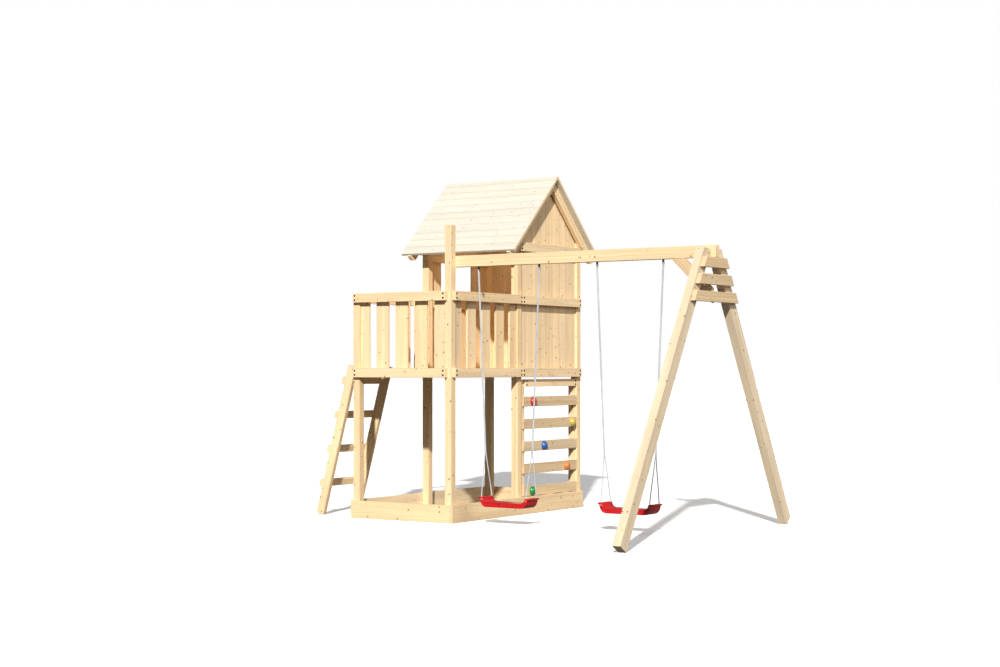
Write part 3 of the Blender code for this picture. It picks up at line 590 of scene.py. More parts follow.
def make_spruce_pattern():
    """Node group: place in a board, and its chance numbers, to colour, roughness and height."""
    tree = bpy.data.node_groups.new("spruce_pattern", "ShaderNodeTree")
    for name in ("Along", "Across", "Through", "Flatness", "Contrast"):
        tree.interface.new_socket(name=name, in_out="INPUT", socket_type="NodeSocketFloat")
    tree.interface.new_socket(name="Board", in_out="INPUT", socket_type="NodeSocketVector")
    tree.interface.new_socket(name="Tone", in_out="INPUT", socket_type="NodeSocketColor")
    tree.interface.new_socket(name="Color", in_out="OUTPUT", socket_type="NodeSocketColor")
    for name in ("Roughness", "Height"):
        tree.interface.new_socket(name=name, in_out="OUTPUT", socket_type="NodeSocketFloat")
    given = tree.nodes.new("NodeGroupInput").outputs
    result = tree.nodes.new("NodeGroupOutput").inputs
    along, across, through = given["Along"], given["Across"], given["Through"]
    contrast = given["Contrast"]
    chance = add(tree, "SeparateXYZ")
    feed(tree, given["Board"], chance.inputs[0])
    shift = vector_maths(tree, "MULTIPLY", given["Board"], (17.0, 23.0, 31.0))

    knots_wide = knot_spots(tree, along, across, shift)
    knots_edge = knot_spots(tree, along, through, vector_maths(tree, "ADD", shift, (5.3, 2.7, 0.0)))
    off_side = maths(tree, "ABSOLUTE", across)
    off_face = maths(tree, "ADD", maths(tree, "ABSOLUTE", through), 0.0005)
    off_face = times(tree, off_face, given["Flatness"])
    on_wide = maths(tree, "GREATER_THAN", off_face, off_side)
    on_edge = maths(tree, "SUBTRACT", 1.0, on_wide)
    spots = []
    for wide, edge in zip(knots_wide, knots_edge):
        seen_wide = times(tree, wide, on_wide)
        seen_edge = times(tree, edge, on_edge)
        spots.append(times(tree, maths(tree, "ADD", seen_wide, seen_edge), contrast))
    core, halo = spots

    place = combine(tree, along, across, through)

    def stretched(factors, detail):
        """Noise drawn out along the board; the factors are for along, across and through."""
        drawn = vector_maths(tree, "MULTIPLY", place, factors)
        return noise(tree, vector_maths(tree, "ADD", drawn, shift), 1.0, detail)

    bend = stretched((1.1, 4.0, 4.0), 2.0)
    pith_side = maths(tree, "MULTIPLY_ADD", chance.outputs["X"], 0.13, -0.065)
    pith_depth = maths(tree, "MULTIPLY_ADD", chance.outputs["Y"], 0.085, 0.016)
    side = maths(tree, "ADD", maths(tree, "ADD", across, pith_side),
                 maths(tree, "MULTIPLY_ADD", bend, 0.07, -0.035))
    depth = maths(tree, "ADD", through, pith_depth)
    reach = vector_maths(tree, "LENGTH", combine(tree, side, depth, 0.0), (0.0, 0.0, 0.0))
    phase = times(tree, reach, 2.0 * math.pi / RING_WIDTH)
    phase = maths(tree, "ADD", phase, times(tree, halo, 4.0))
    late_wood = ramp(tree, maths(tree, "SINE", phase), 0.15, 0.95)

    broad = stretched((0.9, 11.0, 11.0), 3.0)
    fibre = stretched((9.0, 330.0, 330.0), 2.0)

    late = times(tree, times(tree, late_wood, LATE_WOOD), contrast)
    colour = mix(tree, late, given["Tone"], LATE_WOOD_TINT, "MULTIPLY")
    shade = ramp(tree, broad, 0.30, 0.72, 0.88, 1.05)
    colour = mix(tree, contrast, colour, grey(tree, shade), "MULTIPLY")
    colour = mix(tree, 1.0, colour, grey(tree, ramp(tree, fibre, 0.25, 0.75, 0.93, 1.04)), "MULTIPLY")
    warm = times(tree, times(tree, chance.outputs["Z"], 0.55), contrast)
    colour = mix(tree, warm, colour, WARM_TINT, "MULTIPLY")
    light = maths(tree, "MULTIPLY_ADD", chance.outputs["X"], 0.11, 0.93)
    colour = mix(tree, contrast, colour, grey(tree, light), "MULTIPLY")
    colour = mix(tree, times(tree, halo, RING_ROUND_KNOT), colour, AMBER)
    colour = mix(tree, times(tree, core, KNOT_DARKNESS), colour, KNOT_BROWN)
    feed(tree, colour, result["Color"])

    rough = maths(tree, "MULTIPLY_ADD", fibre, 0.22, 0.50)
    rough = maths(tree, "SUBTRACT", rough, times(tree, core, 0.18))
    feed(tree, rough, result["Roughness"])
    height = maths(tree, "MULTIPLY_ADD", fibre, 0.55, times(tree, late_wood, 0.35))
    height = maths(tree, "ADD", height, times(tree, core, -0.5))
    feed(tree, height, result["Height"])
    return tree


spruce_pattern = make_spruce_pattern()
print("spruce pattern nodes:", len(spruce_pattern.nodes))

# %% [markdown]
# A wood material says how the boards of one CAD node lie: which way the grain runs, which way
# the board is wide, and where each board starts if the node has several side by side. A floor of
# the place divided by the board's width counts the boards, and white noise turns that count into
# chance numbers, so neighbours differ in tint, rings and knots as real ones do. Flatness is a
# board's width divided by its thickness, and tells the wide faces from the narrow ones, which
# have their own knots. Where boards of a wall touch, a dark line marks the joint.

# %% Wood materials
TONES = {
    "tower": (0.86, 0.668, 0.425, 1.0),
    "leg": (0.73, 0.63, 0.48, 1.0),
    "brown": (0.68, 0.53, 0.345, 1.0),
    # the roof's pale, greyish tone is painted glare: the whitening that strong sunlight gives the planks
    "roof": (0.64, 0.62, 0.545, 1.0),
}
# The roof's lower contrast washes out its rings, streaks and knots: more painted glare from strong
# sunlight.
ROOF_PAINTED_GLARE_CONTRAST = 0.45
ALWAYS_WIDE = 1000.0
JOINT_HALF = 0.0022
AXES = {"X": Vector((1.0, 0.0, 0.0)), "Y": Vector((0.0, 1.0, 0.0)), "Z": Vector((0.0, 0.0, 1.0))}
wood_count = 0


def wood(name, grain, across, origin, pitch=0.0, tone="tower", flatness=ALWAYS_WIDE, joint=0.0):
    """A spruce material. Grain and across are directions, origin is where the first board starts
    or, without a pitch, the middle of the one board. Joint is how dark the line between boards is."""
    global wood_count
    wood_count += 1
    through = grain.cross(across)
    material, tree, shader = new_material("spruce_" + name)
    place = add(tree, "TexCoord").outputs["Object"]
    place = vector_maths(tree, "SUBTRACT", place, tuple(origin))
    along = vector_maths(tree, "DOT_PRODUCT", place, tuple(grain))
    side = vector_maths(tree, "DOT_PRODUCT", place, tuple(across))
    depth = vector_maths(tree, "DOT_PRODUCT", place, tuple(through))
    board = 0.0
    if pitch:
        board = maths(tree, "FLOOR", maths(tree, "DIVIDE", side, pitch))
        start = times(tree, maths(tree, "ADD", board, 0.5), pitch)
        side = maths(tree, "SUBTRACT", side, start)
    chance = add(tree, "TexWhiteNoise", noise_dimensions="3D")
    feed(tree, combine(tree, board, float(wood_count), 0.5), chance.inputs["Vector"])
    pattern = add(tree, "Group", node_tree=spruce_pattern)
    given = {"Along": along, "Across": side, "Through": depth, "Board": chance.outputs["Color"],
             # The roof's lower contrast is painted glare.
             "Flatness": flatness, "Contrast": ROOF_PAINTED_GLARE_CONTRAST if tone == "roof" else 1.0,
             "Tone": TONES[tone]}
    for input_name, value in given.items():
        feed(tree, value, pattern.inputs[input_name])
    colour = pattern.outputs["Color"]
    if joint:
        off = maths(tree, "ABSOLUTE", side)
        line = ramp(tree, off, pitch / 2.0 - JOINT_HALF, pitch / 2.0 - JOINT_HALF / 3.0, 1.0, 1.0 - joint)
        colour = mix(tree, 1.0, colour, grey(tree, line), "MULTIPLY")
    made = pattern.outputs
    cover(tree, shader, colour, made["Roughness"], made["Height"], 0.45, 0.0008)
    set_inputs(shader, {"Specular IOR Level": 0.35})
    return material


def dress(node_name, material, other=None, takes=None):
    """Gives a CAD node its material. Where takes says yes to a face's middle, the face gets the
    other material, as for the battens behind a row of upright boards."""
    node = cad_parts[node_name]
    node.data.materials.clear()
    node.data.materials.append(material)
    for face in node.data.polygons:
        face.material_index = 0
    if other is not None:
        node.data.materials.append(other)
        for face in node.data.polygons:
            centre = face.center
            if takes(centre.x - TOWER_RIGHT, centre.y - TOWER_FRONT, centre.z):
                face.material_index = 1


def middle_of(node_name):
    """Middle of a CAD node's box."""
    low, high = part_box(node_name)
    return (low + high) / 2.0


def flatness_of(node_name, grain, across):
    """Width of a straight board divided by its thickness, from its box."""
    low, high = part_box(node_name)
    size = high - low
    through = ({"X", "Y", "Z"} - {grain, across}).pop()
    return size["XYZ".index(across)] / size["XYZ".index(through)]


print("wood materials can be made now")

# %% [markdown]
# The single boards come first. Each has its own material with the rings about its own middle.
# The grain runs along the board, and the second letter says which way the board is wide.

# %% Single boards and posts
single_boards = {
    "ZX": [f"post_{depth}_{side}" for side in ("left", "right") for depth in ("front", "mid", "back")],
    "XZ": ["sandbox_front_board", "sandbox_back_board",
           "balcony_front_top_rail", "balcony_front_lower_rail", "swing_beam"],
    "YZ": ["sandbox_left_board", "sandbox_right_board",
           "balcony_right_top_rail", "balcony_right_lower_rail",
           "house_right_top_rail", "house_right_lower_rail", "house_right_gable_rail",
           *(f"climbing_board_{number}" for number in range(1, 6)),
           *(f"ladder_tread_{number}" for number in range(1, 5)),
           *(f"swing_plank_{number}" for number in range(1, 4))],
}
for (grain, across), names in single_boards.items():
    for name in names:
        tone = "brown" if name.startswith(("swing_plank", "climbing_board")) else "tower"
        flatness = flatness_of(name, grain, across)
        board = wood(name, AXES[grain], AXES[across], middle_of(name), tone=tone, flatness=flatness)
        dress(name, board)
print("single boards dressed:", sum(len(names) for names in single_boards.values()))

# %% [markdown]
# The ladder's rails, the swing's legs and its brace lean, so their grain leans with them.

# %% Leaning pieces
LADDER_TILT = math.radians(15.5)
LEG_LEAN = math.atan(0.5964)
RAIL_FLATNESS = 0.082 / 0.038
LEG_FLATNESS = 0.105 / 0.068
ladder_up = Vector((math.sin(LADDER_TILT), 0.0, math.cos(LADDER_TILT)))
ladder_out = Vector((-math.cos(LADDER_TILT), 0.0, math.sin(LADDER_TILT)))
for name in ("ladder_near_rail", "ladder_far_rail"):
    dress(name, wood(name, ladder_up, ladder_out, middle_of(name), flatness=RAIL_FLATNESS))
for name, side in (("swing_leg_near", 1.0), ("swing_leg_far", -1.0)):
    leg_up = Vector((0.0, side * math.sin(LEG_LEAN), math.cos(LEG_LEAN)))
    leg_out = Vector((0.0, side * math.cos(LEG_LEAN), -math.sin(LEG_LEAN)))
    dress(name, wood(name, leg_up, leg_out, middle_of(name), tone="leg", flatness=LEG_FLATNESS))
brace_up = Vector((-1.0, 0.0, 1.0)).normalized()
brace_out = Vector((1.0, 0.0, 1.0)).normalized()
dress("swing_brace", wood("swing_brace", brace_up, brace_out, middle_of("swing_brace"), tone="brown"))
print("leaning pieces dressed: 5")

# %% [markdown]
# Rows of boards share one CAD node each. Their boards are counted from a line that is a whole
# number of boards before the first one, and the battens, rails and joists of the same node have
# a second material, whose grain runs across the boards.

# %% Rows of boards
THIN = 0.019
BAY = 1.044
TOWER_WIDTH = 1.064
POST = 0.068
TOWER_BACK = 2.0 * BAY + POST
FLOOR_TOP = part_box("floor_deck")[1].z
DEEP_BATTEN = 0.0385
FRONT_BALUSTER = 0.132
FRONT_GAP = 0.0782
RIGHT_BALUSTER = 0.131
RIGHT_GAP = 0.0923
LEFT_PITCH = 0.194
LEFT_GAP = 0.077
RAIL_HEIGHT = 0.082
RAIL_OVER_FLOOR = 0.010
RAILS_APART = 0.663
WALL_BOARD = 0.1205
BACK_BOARD = 0.1165
FLOOR_BOARD = 0.098


def dress_row(node_name, across, first, pitch, is_batten, grain="Z", joint=0.0, rails=None):
    """Dresses boards that lie side by side, and the battens, rails or joists on them. First is
    where the first board starts. Rails gives the first one's start and pitch, if there are more."""
    origin = middle_of(node_name)
    origin["XYZ".index(across)] = first
    boards = wood(node_name, AXES[grain], AXES[across], origin, pitch, joint=joint)
    origin = middle_of(node_name)
    rail_pitch = 0.0
    if rails:
        origin.z, rail_pitch = rails
    battens = wood(node_name + "_cross", AXES[across], AXES["Z"], origin, rail_pitch)
    dress(node_name, boards, battens, is_batten)


front_pitch = FRONT_BALUSTER + FRONT_GAP
front_first = TOWER_RIGHT - TOWER_WIDTH + POST + 0.097 + FRONT_GAP / 2.0 - front_pitch * 4.0
dress_row("balcony_front_balusters", "X", front_first, front_pitch, lambda x, y, z: y > DEEP_BATTEN)
right_pitch = RIGHT_BALUSTER + RIGHT_GAP
right_first = TOWER_FRONT + POST + 0.114 + RIGHT_GAP / 2.0 - right_pitch * 4.0
dress_row("balcony_right_balusters", "Y", right_first, right_pitch, lambda x, y, z: x < -DEEP_BATTEN)
left_first = TOWER_FRONT + BAY - THIN + LEFT_GAP / 2.0 - LEFT_PITCH * 8.0
rail_first = FLOOR_TOP + RAIL_OVER_FLOOR - RAIL_HEIGHT / 2.0 - RAILS_APART / 2.0
dress_row("left_railing", "Y", left_first, LEFT_PITCH, lambda x, y, z: x < -TOWER_WIDTH,
          rails=(rail_first, RAILS_APART))
wall_first = TOWER_FRONT + BAY + POST + 0.080 - WALL_BOARD
dress_row("house_right_wall", "Y", wall_first, WALL_BOARD, lambda x, y, z: x < -DEEP_BATTEN, joint=0.6)
left_wall_first = TOWER_FRONT + BAY + POST + 0.205 - WALL_BOARD * 2.0
dress_row("house_left_wall", "Y", left_wall_first, WALL_BOARD,
          lambda x, y, z: x < -TOWER_WIDTH - 0.0001 or x > -TOWER_WIDTH + THIN + 0.0001, joint=0.6)
back_first = TOWER_RIGHT - TOWER_WIDTH + POST
dress_row("house_back_wall", "X", back_first, BACK_BOARD, lambda x, y, z: y > TOWER_BACK + 0.0005)
floor_first = TOWER_FRONT + POST - 0.0022
dress_row("floor_deck", "Y", floor_first, FLOOR_BOARD, lambda x, y, z: z < FLOOR_TOP - 0.0225, grain="X")
dress_row("climbing_frame", "Y", TOWER_FRONT + BAY, 0.5, lambda x, y, z: x > -0.0202)
print("rows of boards dressed: 8")

# %% [markdown]
# The roof's planks run from gable to gable, and their joints are counted from the eave. Their
# pale, washed-out tone is painted glare, the whitening that strong sunlight gives them. Under them
# the rafters follow the slope, so their faces, which lie deeper than a plank is thick, get a browner
# material with the tower's tone, whose grain runs down the slope. The planks' sawn ends get it as well.

# %% The roof
ROOF_SLOPE = math.atan(0.9657)
ROOF_PLANK = 0.098
ROOF_BOARD = 0.020
for node_name, side in (("roof_front_slope", -1.0), ("roof_back_slope", 1.0)):
    low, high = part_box(node_name)
    down = Vector((0.0, side * math.cos(ROOF_SLOPE), -math.sin(ROOF_SLOPE)))
    outward = Vector((0.0, side * math.sin(ROOF_SLOPE), math.cos(ROOF_SLOPE)))
    ridge = Vector((0.0, high.y if side < 0.0 else low.y, high.z))
    eave = ridge + down * 1.037
    planks = wood(node_name, AXES["X"], down, eave, ROOF_PLANK, tone="roof")
    rafters = wood(node_name + "_rafters", down, outward, eave - outward * 0.0575, tone="tower")
    ridge_depth = outward.dot(ridge)
    verges = (low.x - TOWER_RIGHT + 0.0008, high.x - TOWER_RIGHT - 0.0008)

    def under_planks(x, y, z):
        """True for faces deeper than the planks are thick, and for the planks' sawn ends."""
        deep = ridge_depth - outward.dot(tower(x, y, z)) > ROOF_BOARD + 0.0006
        return deep or not verges[0] < x < verges[1]

    dress(node_name, planks, rafters, under_planks)
print("roof slopes dressed: 2")

# %% [markdown]
# The other CAD nodes are steel hooks and coloured plastic. A small maker of plain finishes
# varies colour and roughness with noise and adds a fine bump, so none of them is a flat colour.

# %% Steel, plastic and rope
def finish(name, colour, roughness, grain_size, bump_height, spread=0.12, coat=0.0):
    """A material with noise in its colour, roughness and surface."""
    material, tree, shader = new_material(name)
    place = add(tree, "TexCoord").outputs["Object"]
    patches = noise(tree, place, 14.0, 4.0)
    grains = noise(tree, place, 1.0 / grain_size, 3.0)
    dark = tuple(channel * (1.0 - spread) for channel in colour) + (1.0,)
    bright = tuple(min(1.0, channel * (1.0 + spread)) for channel in colour) + (1.0,)
    tint = mix(tree, ramp(tree, patches, 0.3, 0.7), dark, bright)
    speck = ramp(tree, grains, 0.35, 0.65, 1.0 - spread / 2.0, 1.0)
    colour = mix(tree, 1.0, tint, grey(tree, speck), "MULTIPLY")
    rough = ramp(tree, patches, 0.2, 0.8, roughness * 0.8, roughness * 1.25)
    cover(tree, shader, colour, rough, grains, 0.5, bump_height)
    set_inputs(shader, {"Coat Weight": coat})
    return material


black_steel = finish("black_steel", (0.006, 0.006, 0.006), 0.55, 0.0012, 0.0002)
black_steel.node_tree.nodes["Principled BSDF"].inputs["Specular IOR Level"].default_value = 0.25
red_plastic = finish("red_plastic", (0.52, 0.010, 0.013), 0.30, 0.004, 0.00008, coat=0.15)
rope_fibre = finish("rope_fibre", (0.46, 0.47, 0.49), 0.85, 0.0011, 0.0004, spread=0.10)
hold_colours = {
    "green": (0.016, 0.20, 0.045),
    "orange": (0.60, 0.20, 0.045),
    "blue": (0.016, 0.095, 0.34),
    "yellow": (0.52, 0.42, 0.08),
    "red": (0.42, 0.012, 0.016),
}
hold_finishes = {}
for colour_name, colour in hold_colours.items():
    hold_finishes[colour_name] = finish("hold_" + colour_name, colour, 0.34, 0.0016, 0.0003, coat=0.15)
for number in (1, 2):
    for word in ("left", "right"):
        dress(f"swing_{number}_hook_{word}", black_steel)
        ropes[f"rope_{number}_{word}"].data.materials.append(rope_fibre)
        for knot in knots[f"rope_{number}_{word}"]:
            knot.data.materials.append(rope_fibre)
print("finishes made:", 3 + len(hold_finishes))

# %% [markdown]
# The seat is moulded. A copy of the CAD seat has its loose triangles merged and its flat faces
# dissolved into clean ones. A rounded block is cut out from below, so the middle is a thin tray,
# and the ends stay solid. Holes take the ropes. Panels are then pressed into the front and back,
# which leaves a lip along the top. The edges are rounded, and ribs stiffen the tray from below.

# %% Seat
SEAT_WALL = 0.0042
SEAT_HOLLOW_TOP = 0.0365
SEAT_HOLLOW_HEIGHT = 0.0600
SEAT_HOLLOW_LENGTH = 0.3200
SEAT_PANEL_EDGE = 0.0030
SEAT_PANEL_DEPTH = 0.0018
SEAT_HOLE = 0.0062
RIB_HEIGHT = 0.021
RIB_THICKNESS = 0.0035


def clean_copy(node_name, name):
    """A merged copy of a CAD node with its flat faces dissolved into single ones."""
    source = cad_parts[node_name]
    mesh = source.data.copy()
    piece = bpy.data.objects.new(name, mesh)
    bpy.context.scene.collection.objects.link(piece)
    mesh.name = name
    select_only(piece)
    bpy.ops.object.mode_set(mode="EDIT")
    bpy.ops.mesh.select_all(action="SELECT")
    bpy.ops.mesh.remove_doubles(threshold=0.00002)
    bpy.ops.mesh.dissolve_limited(angle_limit=math.radians(0.5))
    bpy.ops.mesh.normals_make_consistent(inside=False)
    bpy.ops.mesh.select_all(action="DESELECT")
    bpy.ops.object.mode_set(mode="OBJECT")
    return piece


def pick_faces(piece, wanted):
    """Selects the faces that a test says yes to, and leaves the piece in edit mode."""
    for item in list(piece.data.vertices) + list(piece.data.edges):
        item.select = False
    for face in piece.data.polygons:
        face.select = wanted(face)
    bpy.ops.object.mode_set(mode="EDIT")
    bpy.ops.mesh.select_mode(type="FACE")


def apply_modifier(piece, kind, **settings):
    """Adds a modifier, sets it and applies it."""
    select_only(piece)
    modifier = piece.modifiers.new(kind.lower(), kind)
    for name, value in settings.items():
        setattr(modifier, name, value)
    bpy.ops.object.modifier_apply(modifier=modifier.name)


def round_edges(piece, width, degrees):
    """Rounds the edges that are sharper than an angle."""
    apply_modifier(piece, "BEVEL", width=width, segments=2, limit_method="ANGLE",
                   angle_limit=math.radians(degrees))


def open_edges(piece):
    """How many edges aren't shared by exactly two faces; a closed piece has none."""
    shared = {}
    for face in piece.data.polygons:
        for edge in face.edge_keys:
            shared[edge] = shared.get(edge, 0) + 1
    return sum(1 for count in shared.values() if count != 2)


def make_seat(number):
    """The moulded seat of one swing."""
    node_name = f"swing_{number}_seat"
    low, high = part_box(node_name)
    middle = (low + high) / 2.0
    seat = clean_copy(node_name, f"seat_{number}")
    bpy.ops.mesh.primitive_cube_add(
        size=1.0, location=(middle.x, middle.y, low.z + SEAT_HOLLOW_TOP - SEAT_HOLLOW_HEIGHT / 2.0)
    )
    hollow = bpy.context.object
    deep = high.y - low.y - 2.0 * (SEAT_PANEL_DEPTH + SEAT_WALL)
    bpy.ops.transform.resize(value=(SEAT_HOLLOW_LENGTH, deep, SEAT_HOLLOW_HEIGHT))
    bpy.ops.object.transform_apply(location=True, rotation=True, scale=True)
    apply_modifier(hollow, "BEVEL", width=0.006, segments=3)
    apply_modifier(seat, "BOOLEAN", operation="DIFFERENCE", object=hollow, solver="EXACT")
    remove(hollow)
    drills = []
    for across in (-HOLE_ACROSS, HOLE_ACROSS):
        for back in (-HOLE_BACK, HOLE_BACK):
            bpy.ops.mesh.primitive_cylinder_add(
                vertices=24, radius=SEAT_HOLE, depth=0.05,
                location=(middle.x + across, middle.y + back, high.z)
            )
            drills.append(bpy.context.object)
    drill = join(drills, "seat_drill")
    apply_modifier(seat, "BOOLEAN", operation="DIFFERENCE", object=drill, solver="EXACT")
    remove(drill)
    select_only(seat)
    pick_faces(seat, lambda face: abs(face.center.y - middle.y) > (high.y - low.y) / 2.0 - 0.0005)
    bpy.ops.mesh.inset(thickness=SEAT_PANEL_EDGE, depth=-SEAT_PANEL_DEPTH)
    bpy.ops.object.mode_set(mode="OBJECT")
    round_edges(seat, 0.0011, 30.0)
    print("open edges of the bevelled seat:", open_edges(seat))
    ribs = [seat]
    for along in (-0.14, -0.07, 0.0, 0.07, 0.14):
        place = (middle.x + along, middle.y, low.z + RIB_HEIGHT)
        bpy.ops.mesh.primitive_cube_add(size=1.0, location=place)
        bpy.ops.transform.resize(value=(RIB_THICKNESS, high.y - low.y - 0.010, 0.032))
        ribs.append(bpy.context.object)
    bpy.ops.mesh.primitive_cube_add(size=1.0, location=(middle.x, middle.y, low.z + RIB_HEIGHT))
    bpy.ops.transform.resize(value=(0.330, RIB_THICKNESS, 0.030))
    ribs.append(bpy.context.object)
    seat = join(ribs, f"seat_{number}")
    seat.data.materials.clear()
    seat.data.materials.append(red_plastic)
    bpy.ops.object.shade_smooth_by_angle(angle=math.radians(28.0))
    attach(seat, f"swing_{number}")
    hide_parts(node_name)
    return seat


for number in (1, 2):
    seat = make_seat(number)
    print(seat.name, "faces:", len(seat.data.polygons))

# %% [markdown]
# A climbing hold starts as a sphere pressed to the CAD hold's size and cut flat at the board.
# A soft cloud texture pushes its skin in and out by a hair, because holds are cast from sculpted
# forms. A drilled recess keeps the head of the bolt below the skin.

# %% Climbing holds
HOLD_RECESS = 0.0078
HOLD_RECESS_FLOOR = 0.024
hold_lumps = bpy.data.textures.new("hold_lumps", "CLOUDS")
hold_lumps.noise_scale = 0.022


def make_hold(colour_name):
    """One climbing hold; it gives back the place of its bolt."""
    node_name = f"climbing_hold_{colour_name}"
    low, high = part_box(node_name)
    middle = (low + high) / 2.0
    reach = high.x - low.x
    bpy.ops.mesh.primitive_uv_sphere_add(segments=48, ring_count=32, radius=1.0)
    hold = bpy.context.object
    bpy.ops.object.mode_set(mode="EDIT")
    bpy.ops.mesh.select_all(action="SELECT")
    bpy.ops.transform.resize(value=(reach, (high.y - low.y) / 2.0, (high.z - low.z) / 2.0))
    bpy.ops.transform.translate(value=(low.x, middle.y, middle.z))
    bpy.ops.object.mode_set(mode="OBJECT")
    apply_modifier(hold, "DISPLACE", texture=hold_lumps, strength=0.0032, mid_level=0.5,
                   texture_coords="GLOBAL")
    bpy.ops.object.mode_set(mode="EDIT")
    bpy.ops.mesh.select_all(action="SELECT")
    bpy.ops.mesh.bisect(plane_co=(low.x, 0.0, 0.0), plane_no=(1.0, 0.0, 0.0), use_fill=True,
                        clear_inner=True)
    bpy.ops.object.mode_set(mode="OBJECT")
    recess_length = 0.03
    bpy.ops.mesh.primitive_cylinder_add(
        vertices=32, radius=HOLD_RECESS, depth=recess_length,
        location=(low.x + HOLD_RECESS_FLOOR + recess_length / 2.0, middle.y, middle.z),
        rotation=(0.0, math.radians(90.0), 0.0)
    )
    drill = join([bpy.context.object], "hold_drill")
    apply_modifier(hold, "BOOLEAN", operation="DIFFERENCE", object=drill, solver="EXACT")
    remove(drill)
    round_edges(hold, 0.0008, 45.0)
    hold.name = f"hold_{colour_name}"
    hold.data.name = hold.name
    hold.data.materials.append(hold_finishes[colour_name])
    bpy.ops.object.shade_smooth_by_angle(angle=math.radians(40.0))
    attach(hold, "frame")
    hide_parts(node_name)
    return Vector((low.x + HOLD_RECESS_FLOOR, middle.y, middle.z))


hold_bolt_places = [make_hold(colour_name) for colour_name in hold_colours]
print("holds made:", len(hold_bolt_places))

# %% [markdown]
# The rails are held by pairs of black screws. One round head with a hexagonal socket is modelled
# pointing up, and copies are turned to face out of each rail. The copies of one side are joined,
# so the tower's screws are a few pieces and not dozens.

# %% Screw heads
SCREW_RADIUS = 0.0085
SCREW_HEIGHT = 0.0030
SCREW_FROM_END = 0.022
SCREW_OFF_MIDDLE = 0.019


def make_screw():
    """The model of a screw head at the world's origin, its face up."""
    bpy.ops.mesh.primitive_cylinder_add(
        vertices=18, radius=SCREW_RADIUS, depth=SCREW_HEIGHT, location=(0.0, 0.0, SCREW_HEIGHT / 2.0)
    )
    screw = join([bpy.context.object], "screw_model")
    pick_faces(screw, lambda face: face.normal.z > 0.9)
    bpy.ops.mesh.bevel(offset=0.0011, segments=2, affect="EDGES")
    bpy.ops.object.mode_set(mode="OBJECT")
    pick_faces(screw, lambda face: face.normal.z > 0.99)
    bpy.ops.mesh.inset(thickness=0.0019, depth=0.0)
    bpy.ops.mesh.extrude_region_move(TRANSFORM_OT_translate={"value": (0.0, 0.0, -0.0016)})
    bpy.ops.object.mode_set(mode="OBJECT")
    select_only(screw)
    bpy.ops.object.shade_smooth_by_angle(angle=math.radians(35.0))
    screw.data.materials.append(black_steel)
    return screw


FACING = {
    "front": Matrix.Rotation(math.radians(90.0), 4, "X"),
    "back": Matrix.Rotation(math.radians(-90.0), 4, "X"),
    "right": Matrix.Rotation(math.radians(90.0), 4, "Y"),
    "left": Matrix.Rotation(math.radians(-90.0), 4, "Y"),
}


def pairs_on(node_name, facing, fractions, height):
    """Places of vertical pairs on a rail's outer face: fractions is 0 at its low end, 1 at its high."""
    low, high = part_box(node_name)
    along_x = facing in ("front", "back")
    start, end = (low.x, high.x) if along_x else (low.y, high.y)
    face = {"front": low.y, "back": high.y, "right": high.x, "left": low.x}[facing]
    places = []
    for fraction in fractions:
        inset = SCREW_FROM_END if fraction == 0.0 else -SCREW_FROM_END if fraction == 1.0 else 0.0
        along = start + (end - start) * fraction + inset
        for up in (-SCREW_OFF_MIDDLE, SCREW_OFF_MIDDLE):
            at = (along, face, height + up) if along_x else (face, along, height + up)
            places.append(Vector(at))
    return places


screw_model = make_screw()
top_middle = middle_of("balcony_front_top_rail").z
lower_middle = middle_of("balcony_front_lower_rail").z
gable_middle = middle_of("house_right_gable_rail").z
ENDS = (0.0, 1.0)
MIDDLE_TOO = (0.0, 0.5, 1.0)
SCREWED_RAILS = {
    "front": (("balcony_front_top_rail", ENDS, top_middle),
              ("balcony_front_lower_rail", ENDS, lower_middle)),
    "right": (("balcony_right_top_rail", ENDS, top_middle),
              ("balcony_right_lower_rail", ENDS, lower_middle),
              ("house_right_top_rail", ENDS, top_middle),
              ("house_right_lower_rail", ENDS, lower_middle),
              ("house_right_gable_rail", ENDS, gable_middle)),
    "left": (("left_railing", MIDDLE_TOO, top_middle), ("left_railing", MIDDLE_TOO, lower_middle)),
    "back": (("house_back_wall", ENDS, lower_middle), ("house_back_wall", ENDS, gable_middle)),
}


def place_screws(name, places, facing):
    """A copy of the screw at each place, joined into one piece."""
    copies = []
    for count, place in enumerate(places):
        copies.append(copy_to(screw_model, f"{name}_{count}", place, FACING[facing]))
    screws = join(copies, name)
    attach(screws, "frame")
    print(screws.name, "heads:", len(places))


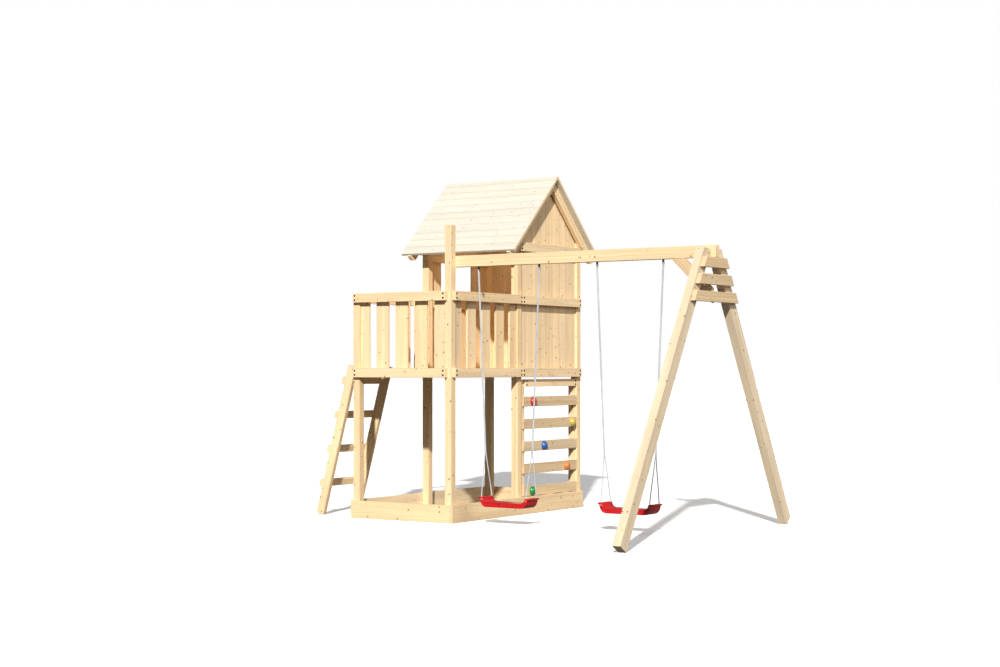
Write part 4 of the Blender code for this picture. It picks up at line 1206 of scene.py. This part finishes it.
for facing, rails in SCREWED_RAILS.items():
    places = []
    for node_name, fractions, height in rails:
        places += pairs_on(node_name, facing, fractions, height)
    place_screws(f"screws_{facing}", places, facing)

# %% [markdown]
# On the climbing wall two pairs of screws hold the top board, and a screw in the recess of each
# hold is its bolt. The screw's model isn't needed after that.

# %% Bolts of the climbing wall
climb_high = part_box("climbing_frame")[1]
BOARD_INSET = 0.030
TOP_BOARD_MIDDLE = 0.034
WALL_SCREW_FROM_END = 0.024
WALL_SCREW_OFF_MIDDLE = 0.0165
board_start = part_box("climbing_board_1")[0].y + BOARD_INSET
climb_middle = climb_high.z - TOP_BOARD_MIDDLE
wall_places = []
for along in (board_start + WALL_SCREW_FROM_END, climb_high.y - WALL_SCREW_FROM_END):
    for up in (-WALL_SCREW_OFF_MIDDLE, WALL_SCREW_OFF_MIDDLE):
        wall_places.append(Vector((climb_high.x, along, climb_middle + up)))
place_screws("screws_climbing_wall", wall_places + hold_bolt_places, "right")
remove(screw_model)

# %% [markdown]
# A hexagon nut holds each hook under the beam. It is a six-sided cylinder with its edges broken.
# Below it a black sleeve covers the closed part of the eye and ends just above the rope's bend.

# %% Hook nuts and sleeves
SLEEVE_LENGTH = 0.0150
bpy.ops.mesh.primitive_cylinder_add(vertices=6, radius=0.0095, depth=0.0055)
nut_parts = [bpy.context.object]
bpy.ops.mesh.primitive_cylinder_add(
    vertices=28, radius=0.0086, depth=SLEEVE_LENGTH, location=(0.0, 0.0, -0.0020 - SLEEVE_LENGTH / 2.0)
)
nut_parts.append(bpy.context.object)
nut_model = join(nut_parts, "nut_model")
round_edges(nut_model, 0.0011, 30.0)
bpy.ops.object.shade_smooth_by_angle(angle=math.radians(30.0))
nut_model.data.materials.append(black_steel)
nuts = []
for number in (1, 2):
    for word in ("left", "right"):
        low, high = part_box(f"swing_{number}_hook_{word}")
        place = Vector(((low.x + high.x) / 2.0, (low.y + high.y) / 2.0, high.z - 0.003 - 0.00275))
        nuts.append(copy_to(nut_model, f"nut_{number}_{word}", place))
hook_nuts = join(nuts, "hook_nuts")
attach(hook_nuts, "frame")
remove(nut_model)
print("nuts:", len(nuts))
